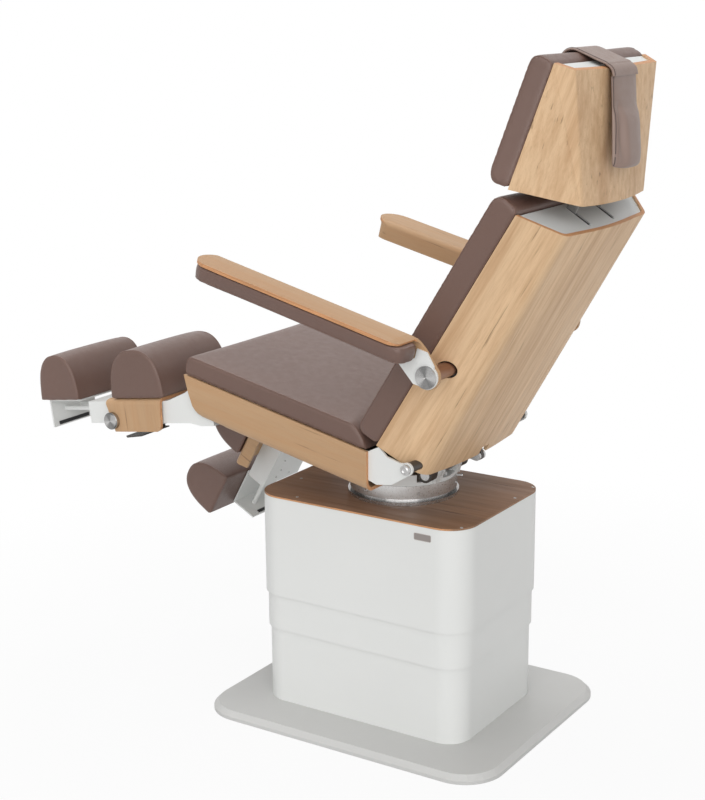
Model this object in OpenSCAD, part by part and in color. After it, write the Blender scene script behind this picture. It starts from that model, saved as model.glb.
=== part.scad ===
// Treatment chair for foot care: lifting pedestal, swivel seat, reclining back,
// adjustable headrest, folding armrests and two separate leg rests.
// It faces -Y, +Z is up, and the origin is on the floor under the swivel axis.

/* [Base and pedestal] */
// Width of the floor plate, across the chair
plate_w = 650; // [560:1:760]
// Length of the floor plate, along the chair
plate_l = 800; // [720:1:900]
// Thickness of the floor plate
plate_t = 20; // [14:1:30]
// Corner radius of the floor plate
plate_r = 100; // [60:1:160]
// Width of the outer pedestal cover
cover_w = 420; // [380:1:480]
// Length of the outer pedestal cover
cover_l = 580; // [520:1:640]
// Corner radius of the outer pedestal cover
cover_r = 70; // [50:1:90]
// Offset of the pedestal towards the foot end
cover_shift = 10; // [0:1:30]
// Sheet thickness of the pedestal covers
cover_wall = 2.5; // [1.5:0.5:4]
// Step from one pedestal cover to the next one inside it
cover_step = 5; // [4.5:0.5:8]
// Height of the table top of the pedestal above the floor
pedestal_h = 555; // [545:1:580]
// Thickness of the wooden top board
board_t = 4; // [3:0.5:8]
// Travel of the lift below the rest position
lift_down = 270; // [200:1:275]
// Travel of the lift above the rest position
lift_up = 70; // [30:1:75]

/* [Turntable] */
// Diameter of the turntable disc
turn_d = 260; // [220:1:280]
// Height of the turntable disc
turn_h = 32; // [24:1:40]
// Height of the swivel casting on the disc
casting_h = 26; // [20:1:27]

/* [Seat] */
// Overall width of the seat, back and head cushions
seat_w = 570; // [520:1:620]
// Length of the seat shell at its upper edge
seat_l = 529; // [500:1:580]
// Depth of the seat shell
seat_d = 94; // [90:1:104]
// Rise of the seat towards the front, in degrees
seat_rise = 12.4; // [8:0.1:15]
// Thickness of the bent plywood shells
ply_t = 8; // [6:0.5:10]
// Thickness of the seat cushion at its edge
seat_cushion_t = 51; // [40:1:60]
// Height of the crown of a cushion
crown = 7; // [3:0.5:12]

/* [Back] */
// Length of the back shell
back_l = 636; // [600:1:680]
// Lean of the back from upright, in degrees
back_lean = 32.2; // [30:0.1:34]
// Depth of the back shell at its lower end
back_d_low = 124.7; // [118:0.1:130]
// Depth of the back shell at its upper end
back_d_high = 94.7; // [90:0.1:100]
// Thickness of the back cushion
back_cushion_t = 64; // [50:1:70]

/* [Headrest] */
// Length of the headrest
head_l = 271; // [240:1:300]
// Lean of the headrest from upright, in degrees
head_lean = 21.3; // [19:0.1:23]
// Depth of the headrest shell at its lower end
head_d_low = 98; // [92:1:104]
// Depth of the headrest shell at its upper end
head_d_high = 32; // [28:1:40]
// Thickness of the head cushion
head_cushion_t = 55; // [45:1:65]
// Travel of the headrest bars out of the back
head_travel = 100; // [60:1:105]

/* [Armrests] */
// Length of an armrest from its pivot to its tip
arm_l = 600; // [520:1:640]
// Width of an armrest
arm_w = 94; // [84:1:104]
// Height of the armrest's upper face over its pivot
arm_top = 75; // [70:1:82]
// Rise of the armrests towards the front, in degrees
arm_rise = 14; // [0:1:20]
// Gap between the back and an armrest
arm_gap = 51; // [45:1:70]

/* [Leg rests] */
// Length of each roll cushion across the chair
roll_l = 270; // [240:1:280]
// Width of the calf roll along the leg
calf_w = 168; // [150:1:176]
// Height of the calf roll
calf_h = 122; // [105:1:135]
// Width of the heel roll along the leg
heel_w = 130; // [110:1:140]
// Height of the heel roll
heel_h = 117; // [100:1:130]
// Fall of the left leg rest below level, in degrees
left_fall = 8; // [0:1:20]
// Fall of the right leg rest below level, in degrees
right_fall = 61; // [50:1:66]
// Extra reach of the left heel roll over the right one
left_reach = 34; // [0:1:50]

/* [Hidden] */

// General clearances and overruns
seat_gap = 0.3;      // between pieces that rest on each other
fit = 0.05;          // radial running clearance of a shaft in its bore
guide_gap = 0.6;     // between sliding bars or tubes
over = 2;            // overrun of a cut past a face
half_w = seat_w / 2;
$fn = 64;
soft_fn = 32;
white = [0.87, 0.87, 0.86];
oak = [0.83, 0.68, 0.5];
walnut = [0.43, 0.31, 0.23];
brown = [0.5, 0.43, 0.4];
steel = [0.75, 0.76, 0.77];
dark = [0.2, 0.2, 0.21];

// Pedestal
deck_t = 8;                                   // steel deck under the board
board_z = pedestal_h - board_t;
deck_z = board_z - deck_t;
lid_gap = 5;                                  // left over the inner cover when lowered
inner_top = deck_z - lift_down - lid_gap;
middle_top = inner_top + lift_down / 2;
middle_hang = 23;                             // the middle cover hangs over the inner one at full height
outer_hang = 68;                              // and the outer cover over the middle one
middle_low = inner_top - lift_up / 2 - middle_hang;
outer_low = middle_top - lift_up / 2 - outer_hang;
outer_h = board_z - seat_gap - outer_low;
column_w = 200;                               // outside width of the fixed column tube
column_wall = 6;
column_l = inner_top - plate_t - over;
column_step = column_wall + guide_gap;
middle_z = plate_t + lift_down / 2 + lid_gap;
middle_plate_t = 4;
motor_r = 34;
motor_h = 130;
motor_y = 190;
foot_r = 25;
foot_h = 6;
foot_inset = 75;

// Turntable
flange_t = 8;
flange_over = 5;                              // the flange beyond the turntable
flange_r = turn_d / 2 + flange_over;
ring_t = 7;
ring_in = 12;
ring_r = turn_d / 2 - ring_in;
spigot_r = 50;
disc_z = pedestal_h + flange_t + ring_t + seat_gap;
spigot_h = turn_h - ring_t;
casting_z = disc_z + turn_h;
casting_in = 2;
casting_r = turn_d / 2 - casting_in;
casting_floor = 8;
rim_t = 12;
axle_r = 12;
axle_y = 112;
axle_z = 630;
ear_r = 18;
ear_t = 18;
ear_x = 40;                                   // inner face of the casting's ears
horn_x = 30;                                  // middle of the horn that the tilt rod turns
horn_t = 12;
horn_h = 60;
horn_r = 13;
pin_r = 3;
pin_l = 14;                                   // length outside the disc
pin_deep = 24;
pin_up = 20;
pin_turn = 122;                               // place of the locking pin round the disc
bolt_r = 5;
bolt_ring_r = 88;

// Seat frame of reference: rear end of the shell's upper edge
seat_y = 76;
seat_z = 732;
shell_r = 25;                                 // outer bend radius of the seat shell
front_shares = [[0, 0], [0.19, 0.43], [0.35, 0.72], [0.5, 0.87], [0.69, 0.96], [1, 1]];
front_run = 109;                              // length of the rising front profile
pan_open = 134;                               // length left open for the legs in front
rear_run = seat_d * tan(seat_rise);
knee_back = 47;                               // knee axis behind the shell's front end
knee_down = 24;                               // and below the shell's upper edge
knee_y = -seat_l + knee_back;
hinge_back = 104;                             // back hinge behind the shell's rear end
hinge_down = 5;
function seat_place(y, z) = [seat_y + y * cos(seat_rise) + z * sin(seat_rise),
    seat_z - y * sin(seat_rise) + z * cos(seat_rise)];
function seat_local(y, z) = [(y - seat_y) * cos(seat_rise) - (z - seat_z) * sin(seat_rise),
    (y - seat_y) * sin(seat_rise) + (z - seat_z) * cos(seat_rise)];
hinge = seat_place(hinge_back, -hinge_down);
knee = seat_place(knee_y, -knee_down);
tilt = seat_local(axle_y, axle_z);
horn = seat_local(axle_y, axle_z + horn_h);
rail_x = 64;
rail_w = 24;
rail_h = 38;
pan_in = -seat_d + ply_t + seat_gap;          // lowest inner level in the shell
tie_t = 4;
tie_l = 40;
rail_z = pan_in + tie_t;
beam_y = -100;
beam_l = 30;
beam_h = 13;
beam_z = -17;
hanger_x = rail_x + rail_w;
hanger_t = 16;
knee_r = 10;
hub_r = 18;
side_t = 6;
side_x = half_w - ply_t - seat_gap - side_t;
hinge_r = 8;
hinge_boss_r = 15;
side_gap = 4;                                 // below the lower end of the back shell
tube_r = 12;

// Actuators under the seat
act_x = 30;
back_act_r = 18;
tilt_act_r = 14;
act_motor_r = 12;
act_start = -345;
act_case_l = 15;
act_motor_l = 95;
back_act_end = -10;
tilt_act_end = -62;
back_rod_r = 9;
tilt_rod_r = 8;
rod_hold = 60;
crank_r = 44.3;                               // lever radius of the back crank at rest
crank_swing = 31;                             // half of the recline angle
crank_t = 12;
crank_pin_r = 6;
crank_slack = 1.4;
crank_rim = 4;
fork_notch = 22;                              // height of the fork's notch in the back shell
fork_notch_gap = 4;                           // beside the fork
fork_w = 28;
fork_l = 30;
fork_web = 5;
fork_gap = 1;
rod_z = -hinge_down - crank_r * cos(crank_swing);
crank_y = hinge_back + crank_r * sin(crank_swing);
tilt_pin_r = 5;
tilt_slack = 1.4;
tilt_slot = 5;                                // length of the slot in the horn

// Back
back_front = 87.7;                            // hinge to the shell's front edge plane
back_corner_low = 237;                        // half width at the rear corners
back_corner_high = 221;
back_round = 55;
back_bulge = 9;
shell_drop = 17;                              // drop of the shell's lower end behind the hinge
top_recess = 4;
panel_t = 6;
slot_front = 78;
slot_rear = 14;
slot_w = 11;
upright_x = 110;
upright_w = 30;
upright_y = -22;
upright_t = 16;
upright_end = 40;
cross_h = 25;
arm_y = 47.6;                                 // arm pivot in front of the hinge, along the depth
arm_u = 250;                                  // and up the back
shaft_r = 17;
shaft_in = 160;
shaft_step_r = 10;
shaft_hole_gap = 3;
boss_w = 65;
boss_h = 38;
cushion_over = 14;                            // cushion past the shell's ends
cushion_under = 8;
cushion_round = 24;
cushion_back_gap = 4;

// Headrest
head_front = 130.9;                           // front plane of the headrest ahead of the hinge
head_rise = 33.2;                             // lower end of the headrest above the back shell
head_corner_low = 190;
head_corner_high = 209;
head_round = 44;
head_bulge = 8;
bar_x = 60;
bar_t = 6;
bar_w = 24;
bar_y = 59.4;                                 // bars behind the head's front plane
bar_top = 50;
bar_plate_w = 200;
bar_plate_l = 180;
bar_plate_t = 6;
pivot_down = 163.4;                           // head pivot below the head's lower end
block_h = 50;
bar_low = -pivot_down - block_h / 2 - head_travel;
block_w = 48;
block_t = 31;
block_side = 20;
pivot_r = 8;
pivot_out = 22;
pivot_ear_t = 10;
pivot_ear_r = 18;
strap_w = 128;
strap_x = 30;                                 // middle of the strap, to the left of the chair's middle
strap_t = 5;
strap_pad_t = 11;                             // extra thickness of the pocket at its end
strap_air = 0.6;
strap_bend_r = 10;
strap_hang = 197;                             // length that hangs behind the headrest
neck_w = 280;
neck_l = 110;
neck_t = 42;
neck_up = 50;

// Armrests
arm_in = half_w + arm_gap;
bend_r = 14;
arm_side_h = 50;
arm_bracket_t = 5;
arm_end_r = 29;
pad_t = 38;
disc_r = 25;
disc_t = 4.5;
flange_start = 55;
board_end = 46;                               // rear end of the arm's board, in front of its pivot
board_end_r = 26;

// Leg rests
roll_in = half_w - roll_l;
leg_in = 110;
leg_out = 270;
arm_low = -84;
leg_arm_l = 372;
heel_back_h = -91;
calf_start = 112;
calf_base = -20;
arm_top_z = calf_base - ply_t - 2 * seat_gap;
heel_start = 357;
heel_base = -23;
leg_board_start = 126;
leg_board_end = 301;
cover_side = 2;
cheek_low = -103;
lip_h = 26;
rod_r = 6;
rod_spread = 28;
rod_low = -56;
rod_in = 208;
slide_end = 471;
slide_plate_t = 4;
slide_plate_low = -96;
slide_start = 362;
knob_s = 285;
knob_z = -74;
knob_r = 21.5;
knob_t = 12;
knob_off = 14;
knob_shaft_r = 6;
knob_seat = 10;
lever_s = 205;
lever_w = 45;
lever_t = 3;
lever_in = 170;
lever_out = 292;
lever_z = -116;
lever_pin_z = -101;
lever_ear_t = 6;
lever_boss_r = 7;

// Frames of reference, each with its front towards -Y
module in_seat() { translate([0, seat_y, seat_z]) rotate([-seat_rise, 0, 0]) children(); }
module in_back() { translate([0, hinge[0], hinge[1]]) rotate([-back_lean, 0, 0]) children(); }
function back_place(y, z) = [hinge[0] + y * cos(back_lean) + z * sin(back_lean),
    hinge[1] - y * sin(back_lean) + z * cos(back_lean)];
head_at = back_place(-head_front, back_l + head_rise);
module in_head() { translate([0, head_at[0], head_at[1]]) rotate([-head_lean, 0, 0]) children(); }
module in_leg(fall) { translate([0, knee[0], knee[1]]) rotate([fall, 0, 0]) children(); }
arm_at = back_place(-arm_y, arm_u);
module in_arm() { translate([0, arm_at[0], arm_at[1]]) rotate([-arm_rise, 0, 0]) children(); }
module on_side(side) { if (side > 0) children(); else mirror([1, 0, 0]) children(); }
module both_sides() { children(); mirror([1, 0, 0]) children(); }

// Extrusions: a side outline across X, and a section along Y
module across(x0, x1) { translate([x0, 0, 0]) rotate([90, 0, 90]) linear_extrude(x1 - x0) children(); }
module along(y0, y1) { translate([0, y1, 0]) rotate([90, 0, 0]) linear_extrude(y1 - y0) children(); }
module rod_x(r, x0, x1) { translate([x0, 0, 0]) rotate([0, 90, 0]) cylinder(r = r, h = x1 - x0); }
module rod_y(r, y0, y1) { translate([0, y1, 0]) rotate([90, 0, 0]) cylinder(r = r, h = y1 - y0); }
module box(low, high) { translate(low) cube(high - low); }

// Rectangle with round corners, made of plain parts
module round_rect(w, l, r) {
    square([w - 2 * r, l], center = true);
    square([w, l - 2 * r], center = true);
    for (x = [-1, 1], y = [-1, 1]) translate([x * (w / 2 - r), y * (l / 2 - r)]) circle(r);
}

// Solid through rings of points, with flat ends
function fan(first, n, flip) = [for (i = [1 : n - 2])
    flip ? [first, first + i + 1, first + i] : [first, first + i, first + i + 1]];
function skin_faces(rings, n) = concat(fan(0, n, true), fan((rings - 1) * n, n, false),
    [for (k = [0 : rings - 2], i = [0 : n - 1]) let (j = (i + 1) % n)
        each [[k * n + i, k * n + j, (k + 1) * n + j], [k * n + i, (k + 1) * n + j, (k + 1) * n + i]]]);
module skin(rings) {
    n = len(rings[0]);
    polyhedron(points = [for (r = rings) each r], faces = skin_faces(len(rings), n));
}

// Outline drawn in by a distance, vertex by vertex
function unit(v) = v / norm(v);
function drawn_in(outline, d) = let (n = len(outline)) [for (i = [0 : n - 1])
    let (t = unit(outline[(i + 1) % n] - outline[(i + n - 1) % n]))
    outline[i] + d * [-t[1], t[0]]];
// 1 for an outline that runs round against the clock, -1 for one that runs with it
function run_of(outline) = let (n = len(outline)) sign([for (i = [1 : n]) 1] * [for (i = [0 : n - 1])
    cross(outline[i], outline[(i + 1) % n])]);
function arc(c, r, a0, a1, steps) = [for (i = [0 : steps])
    let (a = a0 + (a1 - a0) * i / steps) c + r * [cos(a), sin(a)]];

// Upholstered block: a side outline (y, z) carried across X, its ends drawn in at the
// piping and its face crowned in the middle. The face is where face_dir points.
end_shares = [0, 0.01, 0.03, 0.12, 0.3, 0.5, 0.7, 0.88, 0.97, 0.99, 1];
draw_shares = [1, 0.3, 0, 0, 0, 0, 0, 0, 0, 0.3, 1];
module upholstery(outline, x0, x1, draw, rise, middle, thick, face_dir) {
    along_face = [-face_dir[1], face_dir[0]];
    spread = max([for (p = outline) abs((p - middle) * along_face)]);
    inward = run_of(outline);
    skin([for (k = [0 : len(end_shares) - 1])
        let (e = end_shares[k], ring = drawn_in(outline, inward * draw * draw_shares[k]),
            w = 1 - pow(2 * e - 1, 4))
        [for (p = ring)
            let (t = max(0, (p - middle) * face_dir) / thick,
                s = 1 - pow(min(1, abs((p - middle) * along_face) / spread), 4),
                q = p + face_dir * rise * w * t * s)
            [x0 + (x1 - x0) * e, q[0], q[1]]]]);
}

// Base
module floor_outline(grow) { round_rect(plate_w + 2 * grow, plate_l + 2 * grow, plate_r + grow); }
bevel_w = 12;
bevel_h = plate_t * 0.6;
foot_places = [for (x = [-1, 1], y = [-1, 1])
    [x * (plate_w / 2 - foot_inset), y * (plate_l / 2 - foot_inset)]];
module base_plate() {
    color(white) difference() {
        union() {
            linear_extrude(plate_t - bevel_h) floor_outline(0);
            hull() {
                translate([0, 0, plate_t - bevel_h]) linear_extrude(seat_gap)
                    floor_outline(0, $fn = soft_fn);
                translate([0, 0, plate_t - seat_gap]) linear_extrude(seat_gap)
                    floor_outline(-bevel_w, $fn = soft_fn);
            }
        }
        for (p = foot_places) translate([p[0], p[1], -over]) cylinder(r = foot_r + over, h = foot_h + over);
    }
}
module levelling_feet() {
    color(dark) for (p = foot_places) translate([p[0], p[1], 0]) {
        cylinder(r = foot_r, h = foot_h / 2);
        cylinder(r = foot_r / 3, h = foot_h - seat_gap);
    }
}
module cover_tube(inset, z0, z1) {
    w = cover_w - 2 * inset;
    l = cover_l - 2 * inset;
    r = cover_r - inset;
    translate([0, -cover_shift, z0]) linear_extrude(z1 - z0) difference() {
        round_rect(w, l, r);
        round_rect(w - 2 * cover_wall, l - 2 * cover_wall, r - cover_wall);
    }
}
module inner_cover() { color(white) cover_tube(2 * cover_step, plate_t + seat_gap, inner_top); }
module middle_cover() { color(white) cover_tube(cover_step, middle_low, middle_top); }
module outer_cover() { color(white) cover_tube(0, outer_low, outer_low + outer_h); }
module column_tube(inset, z0, z1) {
    w = column_w - 2 * inset;
    translate([0, 0, z0]) linear_extrude(z1 - z0) difference() {
        round_rect(w, w, column_w / 8 - inset / 2);
        round_rect(w - 2 * column_wall, w - 2 * column_wall, column_w / 8 - inset / 2 - column_wall / 2);
    }
}
column_foot_t = 8;
column_foot_w = 25;
module column_base() {
    color(steel) {
        column_tube(0, plate_t + seat_gap, plate_t + column_l);
        translate([0, 0, plate_t + seat_gap]) linear_extrude(column_foot_t) difference() {
            square(column_w + 2 * column_foot_w, center = true);
            square(column_w - column_wall, center = true);
        }
    }
}
// The middle tube carries the middle cover by a plate on the cover's rim
module column_middle() {
    hole = column_w - 2 * column_step - column_wall;
    color(steel) {
        column_tube(column_step, middle_z, middle_z + column_l);
        translate([0, 0, middle_top + seat_gap]) linear_extrude(middle_plate_t) difference() {
            translate([0, -cover_shift]) round_rect(cover_w - 2 * cover_step, cover_l - 2 * cover_step,
                cover_r - cover_step);
            square(hole, center = true);
        }
    }
}
module column_top() {
    color(steel) {
        column_tube(2 * column_step, deck_z - column_l, deck_z);
        translate([0, -cover_shift, deck_z]) linear_extrude(deck_t - seat_gap) round_rect(
            cover_w - 2 * cover_wall - 2 * seat_gap, cover_l - 2 * cover_wall - 2 * seat_gap,
            cover_r - cover_wall - seat_gap);
    }
}
module lift_motor() {
    color(dark) translate([0, -motor_y, plate_t + seat_gap]) {
        cylinder(r = motor_r, h = motor_h);
        translate([-motor_r, 0, 0])
            cube([2 * motor_r, motor_y - column_w / 2 - column_foot_w - seat_gap, motor_h / 2]);
        translate([0, 0, motor_h]) cylinder(r = motor_r * 0.7, h = motor_h / 8);
    }
}
module top_board() {
    color(walnut) translate([0, -cover_shift, board_z]) linear_extrude(board_t)
        round_rect(cover_w, cover_l, cover_r);
}

// Turntable
module bearing_flange() {
    color(steel) translate([0, 0, pedestal_h + seat_gap]) {
        cylinder(r = flange_r, h = flange_t - seat_gap, $fn = 128);
        cylinder(r = ring_r, h = flange_t + ring_t - seat_gap, $fn = 128);
        cylinder(r = spigot_r, h = flange_t + ring_t + spigot_h - seat_gap);
    }
}
module turntable_disc() {
    color(steel) translate([0, 0, disc_z]) difference() {
        cylinder(r = turn_d / 2, h = turn_h, $fn = 128);
        translate([0, 0, -over]) cylinder(r = spigot_r + fit, h = spigot_h + over);
        rotate([0, 0, pin_turn]) translate([0, 0, pin_up])
            rod_x(pin_r + fit, turn_d / 2 - pin_deep, turn_d / 2 + over);
    }
}
ear_foot = 1.3;
module ear_side(r, foot_z) {
    translate([axle_y, axle_z]) circle(r);
    polygon([[axle_y - r * ear_foot, foot_z], [axle_y - r, axle_z], [axle_y + r, axle_z],
        [axle_y + r * ear_foot / 2, foot_z]]);
}
module swivel_casting() {
    floor_z = casting_z + casting_floor;
    color(white) difference() {
        union() {
            translate([0, 0, casting_z]) cylinder(r = casting_r, h = casting_floor, $fn = 128);
            difference() {
                translate([0, 0, casting_z]) cylinder(r = casting_r, h = casting_h, $fn = 128);
                translate([0, 0, casting_z]) cylinder(r = casting_r - rim_t, h = casting_h + over, $fn = 96);
                box([-rail_x - rail_w - over, axle_y - ear_r * 2.4, floor_z],
                    [rail_x + rail_w + over, casting_r + over, floor_z + casting_h]);
            }
            translate([0, 0, casting_z]) cylinder(r = spigot_r, h = casting_h * 0.8);
            for (k = [0 : 5]) rotate([0, 0, 30 + 60 * k]) translate([spigot_r - over, -rim_t / 4, casting_z])
                cube([casting_r - rim_t / 2 - spigot_r, rim_t / 2, casting_h * 0.6]);
            both_sides() across(ear_x, ear_x + ear_t) ear_side(ear_r, casting_z + over);
            across(horn_x - horn_t / 2, horn_x + horn_t / 2) {
                translate([axle_y, axle_z + horn_h + tilt_slot]) circle(horn_r);
                translate([axle_y, axle_z]) circle(axle_r * 1.6);
                polygon([[axle_y - horn_r, casting_z + over], [axle_y - horn_r, axle_z + horn_h + tilt_slot],
                    [axle_y + horn_r, axle_z + horn_h + tilt_slot], [axle_y + horn_r, casting_z + over]]);
            }
        }
        translate([0, axle_y, axle_z]) rod_x(axle_r + fit, -ear_x - ear_t - over, ear_x + ear_t + over);
        for (z = [horn_h - tilt_slack, horn_h + tilt_slot]) translate([0, axle_y, axle_z + z])
            rod_x(tilt_pin_r + tilt_slack, horn_x - horn_t, horn_x + horn_t);
        box([horn_x - horn_t, axle_y - tilt_pin_r - tilt_slack, axle_z + horn_h - tilt_slack],
            [horn_x + horn_t, axle_y + tilt_pin_r + tilt_slack, axle_z + horn_h + tilt_slot]);
        for (k = [0 : 5]) rotate([0, 0, 60 * k]) translate([bolt_ring_r, 0, casting_z - over])
            cylinder(r = bolt_r + fit, h = casting_h);
    }
}
module swivel_pin() {
    color(steel) rotate([0, 0, pin_turn]) translate([0, 0, disc_z + pin_up]) {
        rod_x(pin_r, turn_d / 2 - pin_deep + pin_r, turn_d / 2 + pin_l - pin_r);
        rod_x(pin_r * 1.6, turn_d / 2 + pin_l - pin_r, turn_d / 2 + pin_l);
    }
}

// Seat
module tilt_axle() {
    x = rail_x + rail_w;
    color(steel) translate([0, axle_y, axle_z]) rod_x(axle_r, -x, x);
}
module seat_frame() {
    rear = tilt[0];
    color(steel) in_seat() difference() {
        union() {
            both_sides() {
                box([rail_x, knee_y + hub_r, rail_z], [rail_x + rail_w, rear, rail_z + rail_h]);
                box([rail_x, beam_y, rail_z], [rail_x + rail_w, beam_y + beam_l, beam_z + over]);
                across(ear_x + ear_t + over, rail_x + rail_w) {
                    translate(tilt) circle(ear_r);
                    polygon([[rear - ear_r * 2, rail_z], [rear + ear_r, rail_z], [rear + ear_r, tilt[1]],
                        [rear - ear_r, tilt[1]]]);
                    polygon([[rear - ear_r * 2, rail_z], [rear - ear_r * 2, rail_z + rail_h],
                        [rear + ear_r / 2, rail_z + rail_h], [rear + ear_r, rail_z]]);
                }
                across(hanger_x, hanger_x + hanger_t) {
                    translate([knee_y, -knee_down]) circle(hub_r);
                    polygon([[knee_y - hub_r / 2, -knee_down - hub_r * 0.8], [knee_y, -knee_down + hub_r],
                        [knee_y + 3 * hub_r, rail_z + rail_h], [knee_y + 7 * hub_r, rail_z + rail_h],
                        [knee_y + 7 * hub_r, rail_z], [knee_y + 2 * hub_r, rail_z]]);
                }
            }
            for (y = [beam_y - tie_l / 2, act_start - tie_l / 2])
                box([-half_w + ply_t + shell_r * 0.6, y, pan_in],
                    [half_w - ply_t - shell_r * 0.6, y + tie_l, rail_z]);
            box([-side_x + seat_gap, beam_y, beam_z], [side_x - seat_gap, beam_y + beam_l, beam_z + beam_h]);
            box([-act_x - back_act_r, act_start, rail_z - over], [-act_x + back_act_r,
                act_start + act_case_l, rod_z - back_act_r - seat_gap]);
            box([act_x - tilt_act_r, act_start, rail_z - over], [act_x + tilt_act_r,
                act_start + act_case_l, horn[1] - tilt_act_r - 2 * act_motor_r - over - seat_gap]);
        }
        translate([0, tilt[0], tilt[1]]) rod_x(axle_r + fit, -half_w, half_w);
        translate([0, knee_y, -knee_down]) rod_x(knee_r + fit, -half_w, half_w);
    }
}
// Bent plywood trough, open at the top, with bends at its lower corners
module trough(hw, depth, r) {
    translate([-hw, -depth + r]) square([2 * hw, depth - r + over]);
    translate([-hw + r, -depth]) square([2 * (hw - r), r + over]);
    for (x = [-1, 1]) translate([x * (hw - r), -depth + r]) circle(r);
}
module shell_side() {
    polygon(concat([for (s = front_shares) [-seat_l + front_run * s[0], -seat_d * s[1]]],
        [[rear_run, -seat_d - over], [rear_run, -seat_d], [0, 0]]));
}
module seat_shell() {
    color(oak) in_seat() difference() {
        intersection() {
            along(-seat_l - over, rear_run + over) difference() {
                trough(half_w, seat_d, shell_r);
                trough(half_w - ply_t, seat_d - ply_t, shell_r - ply_t);
            }
            across(-half_w, half_w) shell_side();
        }
        box([-half_w + ply_t, -seat_l - over, -seat_d - over],
            [half_w - ply_t, -seat_l + pan_open, -ply_t]);
    }
}
// The plates end just under the lower end of the back shell
module seat_side_plates() {
    turn = back_lean - seat_rise;
    h = [hinge_back, -hinge_down];
    rear = [cos(turn), -sin(turn)];
    up = [sin(turn), cos(turn)];
    color(white) in_seat() both_sides() difference() {
        across(side_x, side_x + side_t) {
            translate(h) circle(hinge_boss_r);
            polygon([[beam_y - beam_l, -seat_d + shell_r + over], [beam_y - beam_l, beam_z],
                [-over, -over], h - back_front * 0.95 * rear - side_gap * up,
                h - back_front * 0.64 * rear - (shell_drop * 0.36 + side_gap) * up,
                h - hinge_boss_r * 1.5 * rear, h + hinge_boss_r * up,
                h + hinge_boss_r * rear * 0.8 - hinge_boss_r * up * 0.6,
                [hinge_back * 0.72, -seat_d * 0.58], [rear_run + ply_t * 2, -seat_d + shell_r],
                [rear_run + seat_gap, -seat_d + shell_r + over]]);
        }
        translate([0, hinge_back, -hinge_down]) rod_x(hinge_r + fit, side_x - over, side_x + side_t + over);
    }
}
module hinge_bolts() {
    color(steel) in_seat() both_sides() translate([0, hinge_back, -hinge_down]) {
        rod_x(hinge_r, side_x - tube_r * 2, side_x + side_t + seat_gap);
        rod_x(hinge_r * 1.5, side_x + side_t + seat_gap, side_x + side_t + hinge_r);
    }
}
module leg_axle() {
    x = half_w - ply_t - seat_gap;
    color(steel) in_seat() translate([0, knee_y, -knee_down]) rod_x(knee_r, -x, x);
}
nose_r = 17;
rear_shares = [[0.08, 0], [0.18, 0.3], [0.36, 0.54], [0.63, 0.78], [0.9, 0.95], [1.16, 1.02]];
seat_outline = concat(
    [[-seat_l + over, seat_gap], [-seat_l - over, seat_cushion_t * 0.35]],
    arc([-seat_l - over + nose_r, seat_cushion_t - nose_r], nose_r, 180, 90, 6),
    [for (k = [1 : 7]) [-seat_l + seat_l * k / 8, seat_cushion_t]],
    [for (k = [5 : -1 : 0]) [-seat_cushion_t * rear_shares[k][0],
        seat_gap + seat_cushion_t * rear_shares[k][1]]],
    [for (k = [7 : -1 : 1]) [-seat_l + seat_l * k / 8, seat_gap]]);
roll_draw = 4;
module seat_cushion() {
    color(brown) in_seat() upholstery(seat_outline, -half_w, half_w, roll_draw / 2, crown,
        [-seat_l / 2, seat_gap], seat_cushion_t, [0, 1]);
}

// Actuators
module fork(x, y, z, r, slot, pin) {
    translate([x, 0, z]) difference() {
        union() {
            box([-fork_w / 2, y - fork_l, -r], [fork_w / 2, y, r]);
            translate([0, y, 0]) rod_x(r, -fork_w / 2, fork_w / 2);
        }
        box([-slot / 2, y - fork_l + fork_web, -2 * r], [slot / 2, y + 2 * r, 2 * r]);
    }
    translate([x, y, z]) rod_x(pin, -fork_w / 2, fork_w / 2);
}
module actuator(x, z, r, rod, end, motor_z, hold) {
    in_seat() translate([x, 0, z]) difference() {
        union() {
            rod_y(r, act_start + act_case_l - over, end);
            box([-r, act_start, min(-r, motor_z - act_motor_r)],
                [r, act_start + act_case_l, max(r, motor_z + act_motor_r)]);
            translate([0, 0, motor_z]) rod_y(act_motor_r, act_start, act_start + act_case_l + act_motor_l);
            rod_y(r + over, end - 3 * over, end);
        }
        rod_y(rod + fit, end - hold, end + over);
    }
}
back_hold = 2 * rod_hold + tube_r;
tilt_hold = rod_hold + tube_r;
module back_actuator() {
    color(dark) actuator(-act_x, rod_z, back_act_r, back_rod_r, back_act_end,
        back_act_r + act_motor_r, back_hold);
}
module tilt_actuator() {
    color(dark) actuator(act_x, horn[1], tilt_act_r, tilt_rod_r, tilt_act_end,
        -tilt_act_r - act_motor_r - over, tilt_hold);
}
module back_rod() {
    color(steel) in_seat() {
        translate([-act_x, 0, rod_z]) rod_y(back_rod_r, back_act_end - rod_hold, crank_y - fork_l);
        fork(-act_x, crank_y, rod_z, back_rod_r + over, crank_t + 2 * fork_gap, crank_pin_r);
    }
}
module tilt_rod() {
    color(steel) in_seat() {
        translate([act_x, 0, horn[1]]) rod_y(tilt_rod_r, tilt_act_end - rod_hold / 2, horn[0] - fork_l);
        fork(horn_x, horn[0], horn[1], tilt_rod_r + over, horn_t + 2 * fork_gap, tilt_pin_r);
    }
}

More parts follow.
